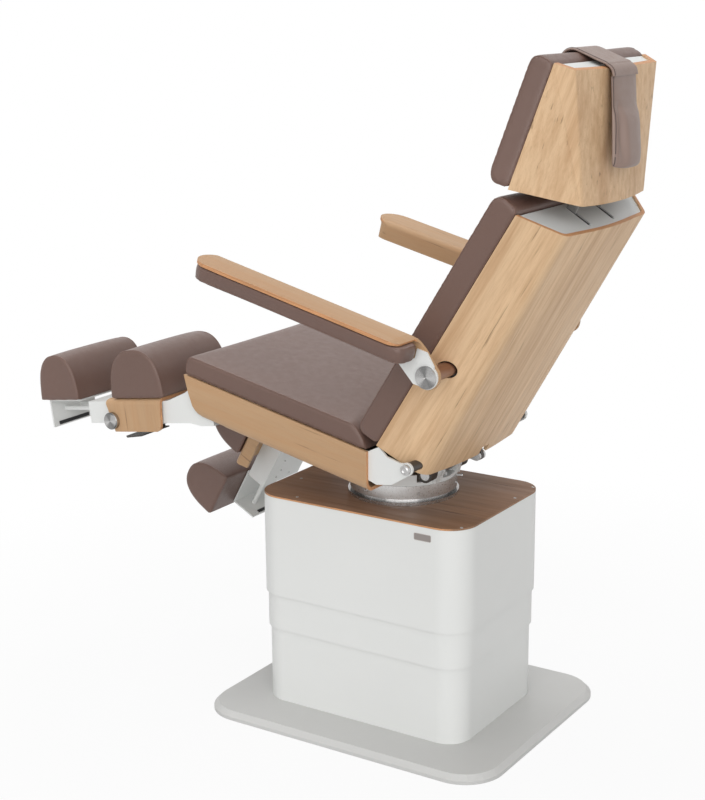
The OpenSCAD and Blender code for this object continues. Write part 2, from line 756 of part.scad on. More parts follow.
// Bent plywood shell that narrows to the rear: outline in (x, y) at one end
bulge_shares = [-1, -0.75, -0.5, -0.25, 0, 0.25, 0.5, 0.75, 1];
module bent_outline(hw, depth, corner, r, bulge, front) {
    flat = corner - r;
    hull() {
        translate([-hw, front]) square([2 * hw, seat_gap]);
        for (x = [-1, 1]) translate([x * flat, front + depth - bulge - r]) circle(r);
        polygon([for (s = bulge_shares) [flat * s, front + depth - bulge * s * s]]);
    }
}
module bent_solid(low, high, z0, z1) {
    hull() {
        translate([0, 0, z0]) linear_extrude(seat_gap)
            bent_outline(low[0], low[1], low[2], low[3], low[4], low[5], $fn = soft_fn);
        translate([0, 0, z1 - seat_gap]) linear_extrude(seat_gap)
            bent_outline(high[0], high[1], high[2], high[3], high[4], high[5], $fn = soft_fn);
    }
}
// The shell's sides lean by side_turn, so the wall takes more room across than it is thick
function side_turn(s) = let (c = [s[2] - s[3] - s[0], s[1] - s[4] - s[3]])
    atan2(c[1], c[0]) - asin(s[3] / norm(c));
function shrunk(s, t) = let (a = side_turn(s)) [s[0] - t / sin(a) - over / tan(a),
    s[1] - t + over, s[2] - t, s[3] - t, s[4], s[5] - over];
function lowered(low, high, l, drop) = [for (k = [0 : 5]) low[k] + (low[k] - high[k]) * drop / l];
module bent_core(low, high, l, drop, size) {
    bent_solid(shrunk(lowered(low, high, l, drop), ply_t + size),
        shrunk(high, ply_t + size), -drop - over, l + over);
}
module bent_shell(low, high, l, drop) {
    difference() {
        bent_solid(lowered(low, high, l, drop), high, -drop, l);
        bent_core(low, high, l, drop, 0);
    }
}
back_low = [half_w, back_d_low, back_corner_low, back_round, back_bulge, -back_front];
back_high = [half_w, back_d_high, back_corner_high, back_round * 0.75, back_bulge, -back_front];
head_low = [half_w, head_d_low, head_corner_low, head_round, head_bulge, 0];
head_high = [half_w, head_d_high, head_corner_high, head_d_high * 0.42, head_bulge / 2, 0];
module back_shell() {
    front = -back_front;
    color(oak) in_back() difference() {
        bent_shell(back_low, back_high, back_l, shell_drop);
        across(-half_w - over, half_w + over) polygon([[front - over, 0], [front, 0], [0, -shell_drop],
            [0, -shell_drop - over], [front - over, -shell_drop - over]]);
        rod_x(tube_r + seat_gap, -half_w - over, half_w + over);
        translate([0, -arm_y, arm_u]) rod_x(shaft_r + shaft_hole_gap, -half_w - over, half_w + over);
        box([-act_x - fork_w / 2 - fork_notch_gap, 0, -shell_drop - over],
            [-act_x + fork_w / 2 + fork_notch_gap, back_d_low, -shell_drop + fork_notch]);
    }
}
// A lid in the end of a shell, cut from the shell's own hollow
module end_panel(low, high, l, drop, size) {
    intersection() {
        bent_core(low, high, l, drop, size);
        box([-half_w, low[5] + seat_gap, l - top_recess - panel_t],
            [half_w, low[5] + 2 * back_d_low, l - top_recess]);
    }
}
module back_top_panel() {
    color(white) in_back() difference() {
        end_panel(back_low, back_high, back_l, shell_drop, seat_gap);
        for (x = [-1, 1]) box([x * bar_x - slot_w / 2, -slot_front, back_l - top_recess - panel_t - over],
            [x * bar_x + slot_w / 2, -slot_rear, back_l]);
    }
}
pivot_back = [-head_front + bar_y * cos(back_lean - head_lean) + pivot_down * sin(back_lean - head_lean),
    back_l + head_rise + bar_y * sin(back_lean - head_lean) - pivot_down * cos(back_lean - head_lean)];
crank_turn = back_lean - seat_rise;
crank_angle = -90 + crank_swing + crank_turn;
module crank_side() {
    slot_r = crank_pin_r + crank_slack;
    near = crank_r * cos(crank_swing);
    difference() {
        union() {
            circle(tube_r + over);
            rotate(crank_angle) translate([0, -slot_r - crank_rim])
                square([crank_r, 2 * (slot_r + crank_rim)]);
            rotate(crank_angle) translate([crank_r, 0]) circle(slot_r + crank_rim);
        }
        rotate(crank_angle) translate([near - over, -slot_r])
            square([crank_r - near + 2 * over, 2 * slot_r]);
        for (r = [near - over, crank_r + over]) rotate(crank_angle) translate([r, 0]) circle(slot_r);
    }
}
module back_frame() {
    ear_in = bar_x + block_side + pivot_out / 2;
    color(steel) in_back() difference() {
        union() {
            rod_x(tube_r, -side_x + seat_gap, side_x - seat_gap);
            both_sides() {
                box([upright_x, upright_y, -tube_r / 2],
                    [upright_x + upright_w, upright_y + upright_t, back_l - upright_end]);
                box([upright_x + upright_w - over, -arm_y - boss_h / 2, arm_u - boss_h / 2],
                    [upright_x + upright_w + boss_w, upright_y + upright_t, arm_u + boss_h / 2]);
                across(ear_in, upright_x + over) {
                    translate(pivot_back) circle(pivot_ear_r);
                    polygon([[pivot_back[0], pivot_back[1] - pivot_ear_r],
                        [upright_y + upright_t, pivot_back[1] - pivot_ear_r],
                        [upright_y + upright_t, pivot_back[1] + pivot_ear_r],
                        [pivot_back[0], pivot_back[1] + pivot_ear_r]]);
                }
            }
            for (z = [2 * cross_h, arm_u - cross_h / 2, back_l - upright_end - cross_h])
                box([-upright_x - over, upright_y + over, z],
                    [upright_x + over, upright_y + upright_t - over, z + cross_h]);
            across(-act_x - crank_t / 2, -act_x + crank_t / 2) crank_side();
        }
        both_sides() rod_x(hinge_r + fit, side_x - tube_r * 2 - over, side_x + over);
        translate([0, -arm_y, arm_u]) both_sides() rod_x(shaft_r + fit, shaft_in, half_w);
        translate([0, pivot_back[0], pivot_back[1]]) rod_x(pivot_r + fit, -half_w, half_w);
    }
}
module arm_shafts() {
    color(brown) in_back() translate([0, -arm_y, arm_u]) both_sides() {
        rod_x(shaft_r, shaft_in + over, arm_in - seat_gap);
        rod_x(shaft_step_r, arm_in - seat_gap, arm_in + ply_t + arm_bracket_t);
    }
}
// Side outline of the back and head cushions, front towards -y
function pad_outline(front, t, z0, z1, r) = concat(
    arc([front - t + r, z0 + r], r, 270, 180, 5),
    [for (k = [1 : 5]) [front - t, z0 + r + (z1 - z0 - 2 * r) * k / 6]],
    arc([front - t + r, z1 - r], r, 180, 90, 5),
    [[front - r / 3, z1 - r / 8], [front, z1 - r / 2]],
    [for (k = [5 : -1 : 1]) [front, z0 + r + (z1 - z0 - 2 * r) * k / 6]],
    [[front, z0 + r / 2], [front - r / 3, z0 + r / 8]]);
module back_cushion() {
    front = -back_front - seat_gap;
    color(brown) in_back() upholstery(
        pad_outline(front, back_cushion_t, -cushion_under + cushion_back_gap,
            back_l + cushion_over, cushion_round),
        -half_w, half_w, roll_draw / 2, crown, [front, back_l / 2], back_cushion_t, [-1, 0]);
}

// Headrest
module head_pivot_block() {
    w = bar_x + block_side;
    color(dark) in_head() difference() {
        union() {
            box([-w, bar_y - block_t / 2 - over, -pivot_down - block_h / 2],
                [w, bar_y + block_t / 2 + over, -pivot_down + block_h / 2]);
            translate([0, bar_y, -pivot_down]) rod_x(pivot_r, -w - pivot_out - over, w + pivot_out + over);
        }
        for (x = [-1, 1])
            box([x * bar_x - bar_t / 2 - guide_gap, bar_y - bar_w / 2 - guide_gap, -pivot_down - block_h],
            [x * bar_x + bar_t / 2 + guide_gap, bar_y + bar_w / 2 + guide_gap, -pivot_down + block_h]);
    }
}
module head_bars() {
    color(steel) in_head() {
        for (x = [-1, 1]) {
            box([x * bar_x - bar_t / 2, bar_y - bar_w / 2, bar_low],
                [x * bar_x + bar_t / 2, bar_y + bar_w / 2, bar_top]);
            box([x * bar_x - bar_t / 2, bar_plate_t, bar_top - bar_w],
                [x * bar_x + bar_t / 2, bar_y + bar_w / 2, bar_top]);
        }
        box([-bar_plate_w / 2, seat_gap, bar_top - bar_w], [bar_plate_w / 2, bar_plate_t + seat_gap,
            bar_top - bar_w + bar_plate_l]);
    }
}
module head_shell() { color(oak) in_head() bent_shell(head_low, head_high, head_l, 0); }
module head_panel() {
    color(white) in_head()
        end_panel(head_low, head_high, head_l, 0, seat_gap);
}
module head_cushion() {
    color(brown) in_head() upholstery(
        pad_outline(-seat_gap, head_cushion_t, -cushion_under / 2, head_l + cushion_over / 3, cushion_round),
        -half_w, half_w, roll_draw / 2, crown / 2, [0, head_l / 2], head_cushion_t, [-1, 0]);
}
// Strap over the top: points (y, z) of its inner face with its thickness there. It runs
// behind the neck cushion, over the headrest, and hangs straight down behind it.
strap_front = -head_cushion_t - crown / 2 - strap_air;
strap_top = head_l + cushion_over / 3 + strap_air;
strap_turn = cushion_round + strap_air;
hang_start = [head_d_high - over, strap_top - strap_bend_r];
hang_dir = [sin(head_lean), -cos(head_lean)];
// Share of the hanging length, and of the pocket's extra thickness
hang_shares = [[0.2, 0], [0.38, 0], [0.46, 0.7], [0.56, 1], [0.72, 1], [0.88, 1], [0.97, 0.7], [1, 0.1]];
strap_path = concat(
    [for (s = [0.1, 0.5, 1, 1.35]) [strap_front, neck_up + neck_l * s, strap_t]],
    [for (p = arc([strap_front + strap_turn, strap_top - strap_turn], strap_turn,
        180, 90, 5)) [p[0], p[1], strap_t]],
    [[-seat_gap, strap_top, strap_t]],
    [for (p = arc(hang_start, strap_bend_r, 90, head_lean, 4)) [p[0], p[1], strap_t]],
    [for (s = hang_shares) let (p = hang_start + strap_bend_r * [-hang_dir[1], hang_dir[0]]
        + hang_dir * strap_hang * s[0]) [p[0], p[1], strap_t + strap_pad_t * s[1]]]);
strap_last = len(strap_path) - 1;
function strap_normal(k) = let (a = strap_path[max(0, k - 1)], b = strap_path[min(strap_last, k + 1)],
    t = unit([b[0] - a[0], b[1] - a[1]])) [-t[1], t[0]];
module head_strap() {
    w = strap_w / 2;
    e = strap_t / 3;
    color(brown) in_head() translate([strap_x, 0, 0]) skin([for (k = [0 : strap_last])
        let (p = [strap_path[k][0], strap_path[k][1]], d = strap_normal(k) * strap_path[k][2],
            m = p + d * 0.6, q = p + d)
        [[-w, p[0], p[1]], [w, p[0], p[1]], [w, m[0], m[1]], [w - e, q[0], q[1]],
            [-w + e, q[0], q[1]], [-w, m[0], m[1]]]]);
}
module neck_cushion() {
    front = strap_front - strap_t - seat_gap;
    color(brown) in_head() upholstery(
        pad_outline(front, neck_t, neck_up, neck_up + neck_l, neck_t * 0.45),
        -neck_w / 2, neck_w / 2, roll_draw * 2, crown / 2, [front, neck_up + neck_l / 2], neck_t, [-1, 0]);
}

// Armrests, drawn for the left side; s runs towards -y
module arm_side() {
    circle(arm_end_r);
    polygon(concat([[-arm_l, arm_top], [-arm_l, arm_top - arm_side_h],
        [-flange_start * 1.2, arm_top - arm_side_h],
        [-flange_start * 0.8, arm_top - arm_side_h * 1.3], [-arm_end_r * 0.6, -arm_end_r * 0.8]],
        [[arm_end_r, 0], [arm_end_r * 0.5, arm_top * 0.35], [-arm_end_r * 0.7, arm_top * 0.74],
        [-flange_start * 0.8, arm_top * 0.94], [-flange_start * 1.2, arm_top]]));
}
module arm_plan(inset) {
    r = arm_w / 2;
    x0 = arm_in + inset;
    x1 = arm_in + arm_w - inset / 2;
    translate([x0, -arm_l + r]) square([bend_r, arm_l]);
    difference() {
        translate([x0, -arm_l + r]) square([x1 - x0, arm_l - r - board_end]);
        translate([x1 - board_end_r, -board_end - board_end_r]) difference() {
            square(board_end_r + over);
            circle(board_end_r);
        }
    }
    translate([arm_in + r, -arm_l + r]) intersection() {
        circle(r - inset / 2);
        translate([x0 - arm_in - r, -r]) square([x1 - x0, 2 * r]);
    }
}
module arm_section() {
    difference() {
        union() {
            translate([arm_in + bend_r, arm_top - ply_t]) square([arm_w - bend_r, ply_t]);
            translate([arm_in, -arm_end_r]) square([ply_t, arm_top + arm_end_r - bend_r]);
            intersection() {
                translate([arm_in + bend_r, arm_top - bend_r]) circle(bend_r);
                translate([arm_in, arm_top - bend_r]) square(bend_r);
            }
        }
        translate([arm_in + bend_r, arm_top - bend_r]) circle(bend_r - ply_t);
    }
}
module arm_wood(side) {
    color(oak) in_arm() on_side(side) difference() {
        intersection() {
            along(-arm_l, arm_end_r) arm_section();
            across(arm_in, arm_in + arm_w) arm_side();
            translate([0, 0, -arm_end_r]) linear_extrude(arm_top + arm_end_r) arm_plan(0);
        }
        rod_x(shaft_step_r + fit, arm_in - over, arm_in + ply_t + over);
    }
}
pad_rear = 28;
pad_end_r = 22;
pad_side = 2;
pad_levels = [[0.12, 0.0], [0.03, 0.12], [0.0, 0.35], [0.0, 0.8], [0.07, 1.0]];
function pad_ring(inset, z) = let (x0 = arm_in + ply_t + arm_bracket_t + pad_side + inset,
    x1 = arm_in + arm_w - pad_side - inset,
    c = (x0 + x1) / 2, w = (x1 - x0) / 2, y0 = -arm_l + pad_side + inset + w, y1 = -pad_rear - inset)
    [for (p = concat(arc([c, y0], w, 180, 360, 12),
        arc([x1 - pad_end_r, y1 - pad_end_r], pad_end_r, 0, 90, 4),
        arc([x0 + pad_end_r, y1 - pad_end_r], pad_end_r, 90, 180, 4))) [p[0], p[1], z]];
module arm_pad(side) {
    top = arm_top - ply_t - seat_gap;
    color(brown) in_arm() on_side(side)
        skin([for (l = pad_levels) pad_ring(pad_t * l[0], top - pad_t + pad_t * l[1])]);
}
bracket_shares = [[0.05, -0.9], [-1.04, -0.93], [-2.85, 0.3], [-2, 0.63], [-1.37, 1.15], [-1.37, 1.93],
    [-0.46, 1.93], [0.41, 1.07], [0.6, 0.6]];
module arm_bracket(side) {
    x = arm_in + ply_t + seat_gap;
    r = arm_end_r * 0.93;
    color(white) in_arm() on_side(side) difference() {
        union() {
            rod_x(r, x, x + arm_bracket_t);
            across(x, x + arm_bracket_t) polygon(r * bracket_shares);
        }
        rod_x(shaft_step_r + fit, x - over, x + arm_bracket_t + over);
    }
}
module arm_disc(side) {
    x = arm_in + ply_t + seat_gap + arm_bracket_t + seat_gap;
    color(steel) in_arm() on_side(side) difference() {
        rod_x(disc_r, x, x + disc_t);
        rod_x(disc_r / 6, x + disc_t / 2, x + disc_t + over);
    }
}

// Leg rests, drawn for the left side; s runs towards -y
function roll_outline(start, w, h, base) = let (hw = w / 2, steps = 26, power = 0.8)
    [for (i = [0 : steps]) let (a = 180 * i / steps, c = cos(a))
        [-start - hw - sign(c) * hw * pow(abs(c), power), base + h * pow(sin(a), power)]];
module roll(side, fall, start, w, h, base) {
    outline = roll_outline(start, w, h, base);
    n = len(outline);
    back = [for (i = [0 : n - 1]) outline[n - 1 - i]];
    color(brown) in_leg(fall) on_side(side) upholstery(back, roll_in, half_w, roll_draw, crown / 3,
        [-start - w / 2, base], h, [0, 1]);
}
module leg_arm(side, fall) {
    mid = (leg_in + leg_out) / 2;
    color(white) in_leg(fall) on_side(side) {
        difference() {
            across(leg_in, leg_out) {
                circle(hub_r);
                polygon([[hub_r * 1.3, heel_back_h], [hub_r * 0.8, -hub_r * 0.6],
                    [-hub_r * 0.5, hub_r * 0.85],
                    [-hub_r * 3, -hub_r * 0.5], [-calf_start, arm_top_z], [-leg_arm_l, arm_top_z],
                    [-leg_arm_l, arm_low], [-hub_r * 2.8, arm_low], [-hub_r, heel_back_h]]);
            }
            rod_x(knee_r + fit, leg_in - over, leg_out + over);
            for (x = [-1, 1]) translate([mid + x * rod_spread, 0, rod_low])
                rod_y(rod_r + fit, -leg_arm_l - over, -rod_in + hub_r * 4);
            translate([0, -knob_s, knob_z]) rod_x(knob_shaft_r + fit, leg_out - knob_seat, leg_out + over);
        }
        for (s = [lever_s + lever_ear_t, lever_s + lever_w - 2 * lever_ear_t]) difference() {
            along(-s - lever_ear_t, -s) {
                translate([lever_in + lever_boss_r, lever_pin_z]) circle(lever_boss_r);
                translate([lever_in, lever_pin_z])
                    square([2 * lever_boss_r, arm_low - lever_pin_z + over / 2]);
            }
            translate([lever_in + lever_boss_r, 0, lever_pin_z])
                rod_y(pin_r, -s - lever_ear_t - over, -s + over);
        }
        translate([lever_in + lever_boss_r, 0, lever_pin_z])
            rod_y(pin_r, -lever_s - lever_w + lever_ear_t, -lever_s - lever_ear_t);
    }
}
module leg_cover_section() {
    x0 = roll_in + cover_side;
    x1 = half_w - cover_side;
    top = calf_base - seat_gap;
    difference() {
        union() {
            translate([x0 + bend_r, top - ply_t]) square([x1 - x0 - 2 * bend_r, ply_t]);
            translate([x1 - ply_t, cheek_low]) square([ply_t, top - bend_r - cheek_low]);
            translate([x0, top - bend_r - lip_h]) square([ply_t, lip_h]);
            translate([x0 + bend_r, top - bend_r]) circle(bend_r);
            translate([x1 - bend_r, top - bend_r]) circle(bend_r);
        }
        translate([x0 + ply_t, cheek_low - over])
            square([x1 - x0 - 2 * ply_t, top - bend_r - cheek_low + over]);
        for (x = [x0 + bend_r, x1 - bend_r]) translate([x, top - bend_r]) circle(bend_r - ply_t);
        translate([x0 + bend_r, top - 2 * bend_r - over])
            square([x1 - x0 - 2 * bend_r, 2 * bend_r + over - ply_t]);
    }
}
module leg_cover(side, fall) {
    s0 = leg_board_start;
    s1 = leg_board_end;
    color(oak) in_leg(fall) on_side(side) difference() {
        intersection() {
            along(-s1, -s0) leg_cover_section();
            across(roll_in, half_w) polygon([[-s0, 0], [-s0, calf_base - bend_r],
                [-s0 - bend_r / 2, cheek_low + bend_r],
                [-s0 - bend_r * 0.8, cheek_low + bend_r / 3], [-s0 - bend_r * 1.5, cheek_low],
                [-s1 + hub_r, cheek_low], [-s1 + hub_r / 4, calf_base - 2 * bend_r],
                    [-s1, calf_base - bend_r],
                [-s1, calf_base - bend_r / 3], [-s1 + bend_r / 3, calf_base], [-s1 + bend_r / 3, 0]]);
        }
        translate([0, -knob_s, knob_z]) rod_x(knob_shaft_r + over, leg_out, half_w + over);
    }
}
module leg_knob(side, fall) {
    color(steel) in_leg(fall) on_side(side) translate([0, -knob_s, knob_z]) {
        rod_x(knob_shaft_r, leg_out - knob_seat + seat_gap, leg_out + knob_off + over);
        rod_x(knob_r, leg_out + knob_off, leg_out + knob_off + knob_t * 0.75);
        rod_x(knob_r * 0.88, leg_out + knob_off, leg_out + knob_off + knob_t);
    }
}
module leg_lever(side, fall) {
    color(dark) in_leg(fall) on_side(side) difference() {
        union() {
            translate([0, 0, lever_z]) linear_extrude(lever_t) polygon([
                [lever_in, -lever_s], [lever_out - lever_w / 3, -lever_s],
                    [lever_out, -lever_s - lever_w * 0.75],
                [lever_out - lever_w / 5, -lever_s - lever_w], [lever_in, -lever_s - lever_w]]);
            along(-lever_s - lever_w + 2 * lever_ear_t + guide_gap, -lever_s - 2 * lever_ear_t - guide_gap) {
                translate([lever_in + lever_boss_r, lever_pin_z]) circle(lever_boss_r);
                translate([lever_in, lever_z + lever_t / 2])
                    square([2 * lever_boss_r, lever_pin_z - lever_z - lever_t / 2]);
            }
        }
        translate([lever_in + lever_boss_r, 0, lever_pin_z])
            rod_y(pin_r + fit, -lever_s - lever_w, -lever_s);
    }
}
module heel_slide(side, fall, reach) {
    mid = (leg_in + leg_out) / 2;
    top = heel_base - seat_gap;
    color(white) in_leg(fall) on_side(side) translate([0, -reach, 0]) {
        for (x = [-1, 1]) translate([mid + x * rod_spread, 0, rod_low])
            rod_y(rod_r, -slide_end + slide_plate_t / 2, -rod_in);
        box([leg_in, -slide_end, slide_plate_low], [leg_out, -slide_end + slide_plate_t, top]);
        box([leg_in, -slide_end, top - slide_plate_t], [leg_out, -slide_start, top]);
    }
}

base_plate();
levelling_feet();
inner_cover();
column_base();
lift_motor();
middle_cover();
column_middle();
outer_cover();
column_top();
top_board();
bearing_flange();
turntable_disc();
swivel_casting();
swivel_pin();
tilt_axle();
seat_frame();
seat_side_plates();
seat_shell();
seat_cushion();
leg_axle();
hinge_bolts();
back_actuator();
tilt_actuator();
back_rod();
tilt_rod();
back_frame();
back_shell();
back_top_panel();
back_cushion();
arm_shafts();
head_pivot_block();
head_bars();
head_shell();
head_panel();
head_cushion();
head_strap();
neck_cushion();
arm_wood(1);  // left_arm_wood
arm_pad(1);  // left_arm_pad
arm_bracket(1);  // left_arm_bracket
arm_disc(1);  // left_arm_disc
arm_wood(-1);  // right_arm_wood
arm_pad(-1);  // right_arm_pad
arm_bracket(-1);  // right_arm_bracket
arm_disc(-1);  // right_arm_disc
leg_arm(1, left_fall);  // left_leg_arm
leg_cover(1, left_fall);  // left_leg_cover
roll(1, left_fall, calf_start, calf_w, calf_h, calf_base);  // left_calf_roll
leg_knob(1, left_fall);  // left_leg_knob
leg_lever(1, left_fall);  // left_leg_lever
heel_slide(1, left_fall, left_reach);  // left_heel_slide
roll(1, left_fall, heel_start + left_reach, heel_w, heel_h, heel_base);  // left_heel_roll
leg_arm(-1, right_fall);  // right_leg_arm
leg_cover(-1, right_fall);  // right_leg_cover
roll(-1, right_fall, calf_start, calf_w, calf_h, calf_base);  // right_calf_roll
leg_knob(-1, right_fall);  // right_leg_knob
leg_lever(-1, right_fall);  // right_leg_lever
heel_slide(-1, right_fall, 0);  // right_heel_slide
roll(-1, right_fall, heel_start, heel_w, heel_h, heel_base);  // right_heel_roll
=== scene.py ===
"""Looks of a podiatry chair: leather upholstery, bent oak shells, painted steel and a soft studio."""

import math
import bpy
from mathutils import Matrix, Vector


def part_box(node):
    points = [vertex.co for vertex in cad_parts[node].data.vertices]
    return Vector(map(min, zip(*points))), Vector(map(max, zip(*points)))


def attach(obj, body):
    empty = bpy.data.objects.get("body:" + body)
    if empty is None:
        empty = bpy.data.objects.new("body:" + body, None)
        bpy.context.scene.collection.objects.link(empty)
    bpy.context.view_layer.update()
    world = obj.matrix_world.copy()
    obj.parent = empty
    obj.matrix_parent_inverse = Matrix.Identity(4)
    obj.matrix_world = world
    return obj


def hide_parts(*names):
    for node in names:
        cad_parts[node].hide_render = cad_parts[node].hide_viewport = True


bl_info = {
    "name": "Podiatry Chair Finish",
    "version": (1, 0, 0),
    "blender": (4, 5, 0),
    "location": "View3D > Sidebar > Podiatry Chair",
    "description": "Upholstery, wood and painted finishes for an electric podiatry chair, with its studio",
    "category": "Add Mesh",
}

import bmesh
import bpy
from mathutils import Matrix, Vector

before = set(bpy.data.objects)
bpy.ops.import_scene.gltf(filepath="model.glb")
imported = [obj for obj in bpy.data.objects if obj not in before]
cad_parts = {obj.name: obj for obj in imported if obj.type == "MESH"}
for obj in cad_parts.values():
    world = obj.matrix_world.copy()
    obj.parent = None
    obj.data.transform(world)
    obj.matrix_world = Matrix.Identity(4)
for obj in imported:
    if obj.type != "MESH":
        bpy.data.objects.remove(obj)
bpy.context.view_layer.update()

# Pivots of the leaning groups, as (y, z) in metres
BACK_PIVOT = (0.17650, 0.70478)
ARM_PIVOT = (0.26944, 0.94170)
LEG_PIVOT = (-0.39991, 0.81206)


def place(y, z, lean):
    """Frame of a group that sits at (0, y, z) and leans by so many degrees about X."""
    return Matrix.Translation((0, y, z)) @ Matrix.Rotation(math.radians(lean), 4, "X")


SEAT = place(0.076, 0.732, -12.4)
BACK = place(*BACK_PIVOT, -32.2)
HEAD = place(0.42233, 1.34081, -21.3)
ARM = place(*ARM_PIVOT, -14)
LEG = {"left": place(*LEG_PIVOT, 8), "right": place(*LEG_PIVOT, 61)}
WORLD = Matrix.Identity(4)
SIGN = {"left": 1, "right": -1}
X_AXIS, Z_AXIS = Vector((1, 0, 0)), Vector((0, 0, 1))

# Measures of the solids that the pieces below are fitted to, in metres
HALF_W = 0.285  # half the width of the seat, the back and the headrest
BACK_H = 0.636  # the back's lid above its pivot, along the back
HEAD_H = 0.2757  # the headrest's height, along its lean
NECK_HALF_W = 0.135
LEG_IN = 0.015  # a leg rest's inner end, from the middle of the chair
ARM_DISC_X = HALF_W + 0.06
STRAP_ENDS = (-0.0255, 0.1015)  # the strap's two edges across the headrest

# How the shells and cushions of the back and the headrest differ from their solids. A pair is the value at
# the lower end and what is added to it at the top; the others grow from nothing to their value at the top.
HEAD_DEEPER = (1.32, 0.12)  # times the depth behind the cushion
HEAD_NARROWER = 0.2  # share of the width
HEAD_SQUARE = 0.36  # share of the width that the shell's rear gets back
HEAD_FORWARD, HEAD_LOWER = 0.026, 0.011  # metres
BACK_WIDER = (0.013, 0.007)  # metres on each side, at the rear
BACK_DEEPER = 0.0103  # metres, at the rear
BACK_CORNER = (0.003, 0.011)  # metres that the rear corners are deeper still

# The picture's size and the solved camera
PHOTO_W, PHOTO_H = 705, 800  # pixels
FOCAL = 1610.758  # pixels
CENTRE = (379.957, 394.584)  # pixels from the upper left corner
YAW, PITCH = math.radians(-122.2677), math.radians(-14.3803)
ROLL = -0.00467  # radians
CAMERA_AT = (3.1937, 1.9496, 1.7517)  # metres


def rgb(r, g, b):
    """Linear colour from the eight-bit numbers a swatch gives."""
    return (*(c / 255 / 12.92 if c <= 10 else ((c / 255 + 0.055) / 1.055) ** 2.4 for c in (r, g, b)), 1)


# ---------------------------------------------------------------- sizes and colours


def length(name, description, default, low=0.0, high=1.0):
    """A size in metres for a PropertyGroup."""
    return bpy.props.FloatProperty(name=name, description=description, default=default, min=low, max=high,
                                   subtype="DISTANCE", unit="LENGTH")


def swatch(name, description, colour):
    """A colour for a PropertyGroup."""
    return bpy.props.FloatVectorProperty(name=name, description=description, default=colour, size=4,
                                         min=0, max=1, subtype="COLOR")


class ChairSizes(bpy.types.PropertyGroup):
    voxel: length("Upholstery Mesh", "Face size of the padded pieces before they are smoothed",
                  0.0065, 0.003, 0.02)
    swell: length("Cushion Swell", "Most that a point of a cushion moves as it fills", 0.008, 0, 0.03)
    roll_swell: length("Roll Swell", "Most that a point of a leg roll moves as it fills", 0.005, 0, 0.03)
    piping: length("Piping", "Radius of the sewn ridge along the upholstery's edges", 0.0013, 0.0005, 0.004)
    piping_in: length("Piping Inset", "Distance of the sewn ridge from a cushion's end", 0.005, 0.001, 0.02)
    stitch: length("Stitch Length", "Length of one stitch with its gap", 0.005, 0.002, 0.02)
    flat_end: length("Flat End", "Width at a cushion's end that keeps its cut shape", 0.012, 0.002, 0.04)
    screw: length("Screw Head", "Radius of the small screw heads", 0.0042, 0.001, 0.01)


class ChairColours(bpy.types.PropertyGroup):
    leather: swatch("Leather", "Grey-brown upholstery leather", rgb(105, 79, 69))
    strap: swatch("Strap Leather", "Paler leather of the headrest's strap", rgb(138, 116, 106))
    oak: swatch("Oak", "Pale oak face", rgb(231, 196, 156))
    oak_dark: swatch("Oak Streaks", "Dark streaks in the oak", rgb(178, 138, 100))
    # Painted shade: a darker copy of the oak for the seat, the arms and the legs, which get less light
    oak_shaded: swatch("Shaded Oak", "Oak of the seat, the arms and the legs", rgb(196, 160, 123))
    edge: swatch("Plywood Edge", "Cut edge of the bent plywood", rgb(206, 150, 105))
    walnut: swatch("Walnut", "Face of the board on the pedestal", rgb(160, 122, 93))
    walnut_dark: swatch("Walnut Streaks", "Dark streaks in that board", rgb(122, 91, 68))
    paint: swatch("Paint", "White painted steel", rgb(228, 229, 227))
    base: swatch("Base Paint", "Paint of the base plate", rgb(203, 203, 201))
    plate: swatch("Lid Paint", "Grey-white lids of the shells", rgb(226, 228, 226))
    steel: swatch("Steel", "Brushed and turned steel", rgb(196, 195, 194))
    dark: swatch("Dark Frame", "Dark painted frame", rgb(62, 56, 51))
    brown: swatch("Brown Metal", "Brown coated arm shafts", rgb(150, 115, 95))
    rubber: swatch("Rubber", "Black rubber and plastic", rgb(34, 34, 35))
    label: swatch("Nameplate", "Bare plate on the pedestal's cover", rgb(146, 138, 134))


# ---------------------------------------------------------------- materials


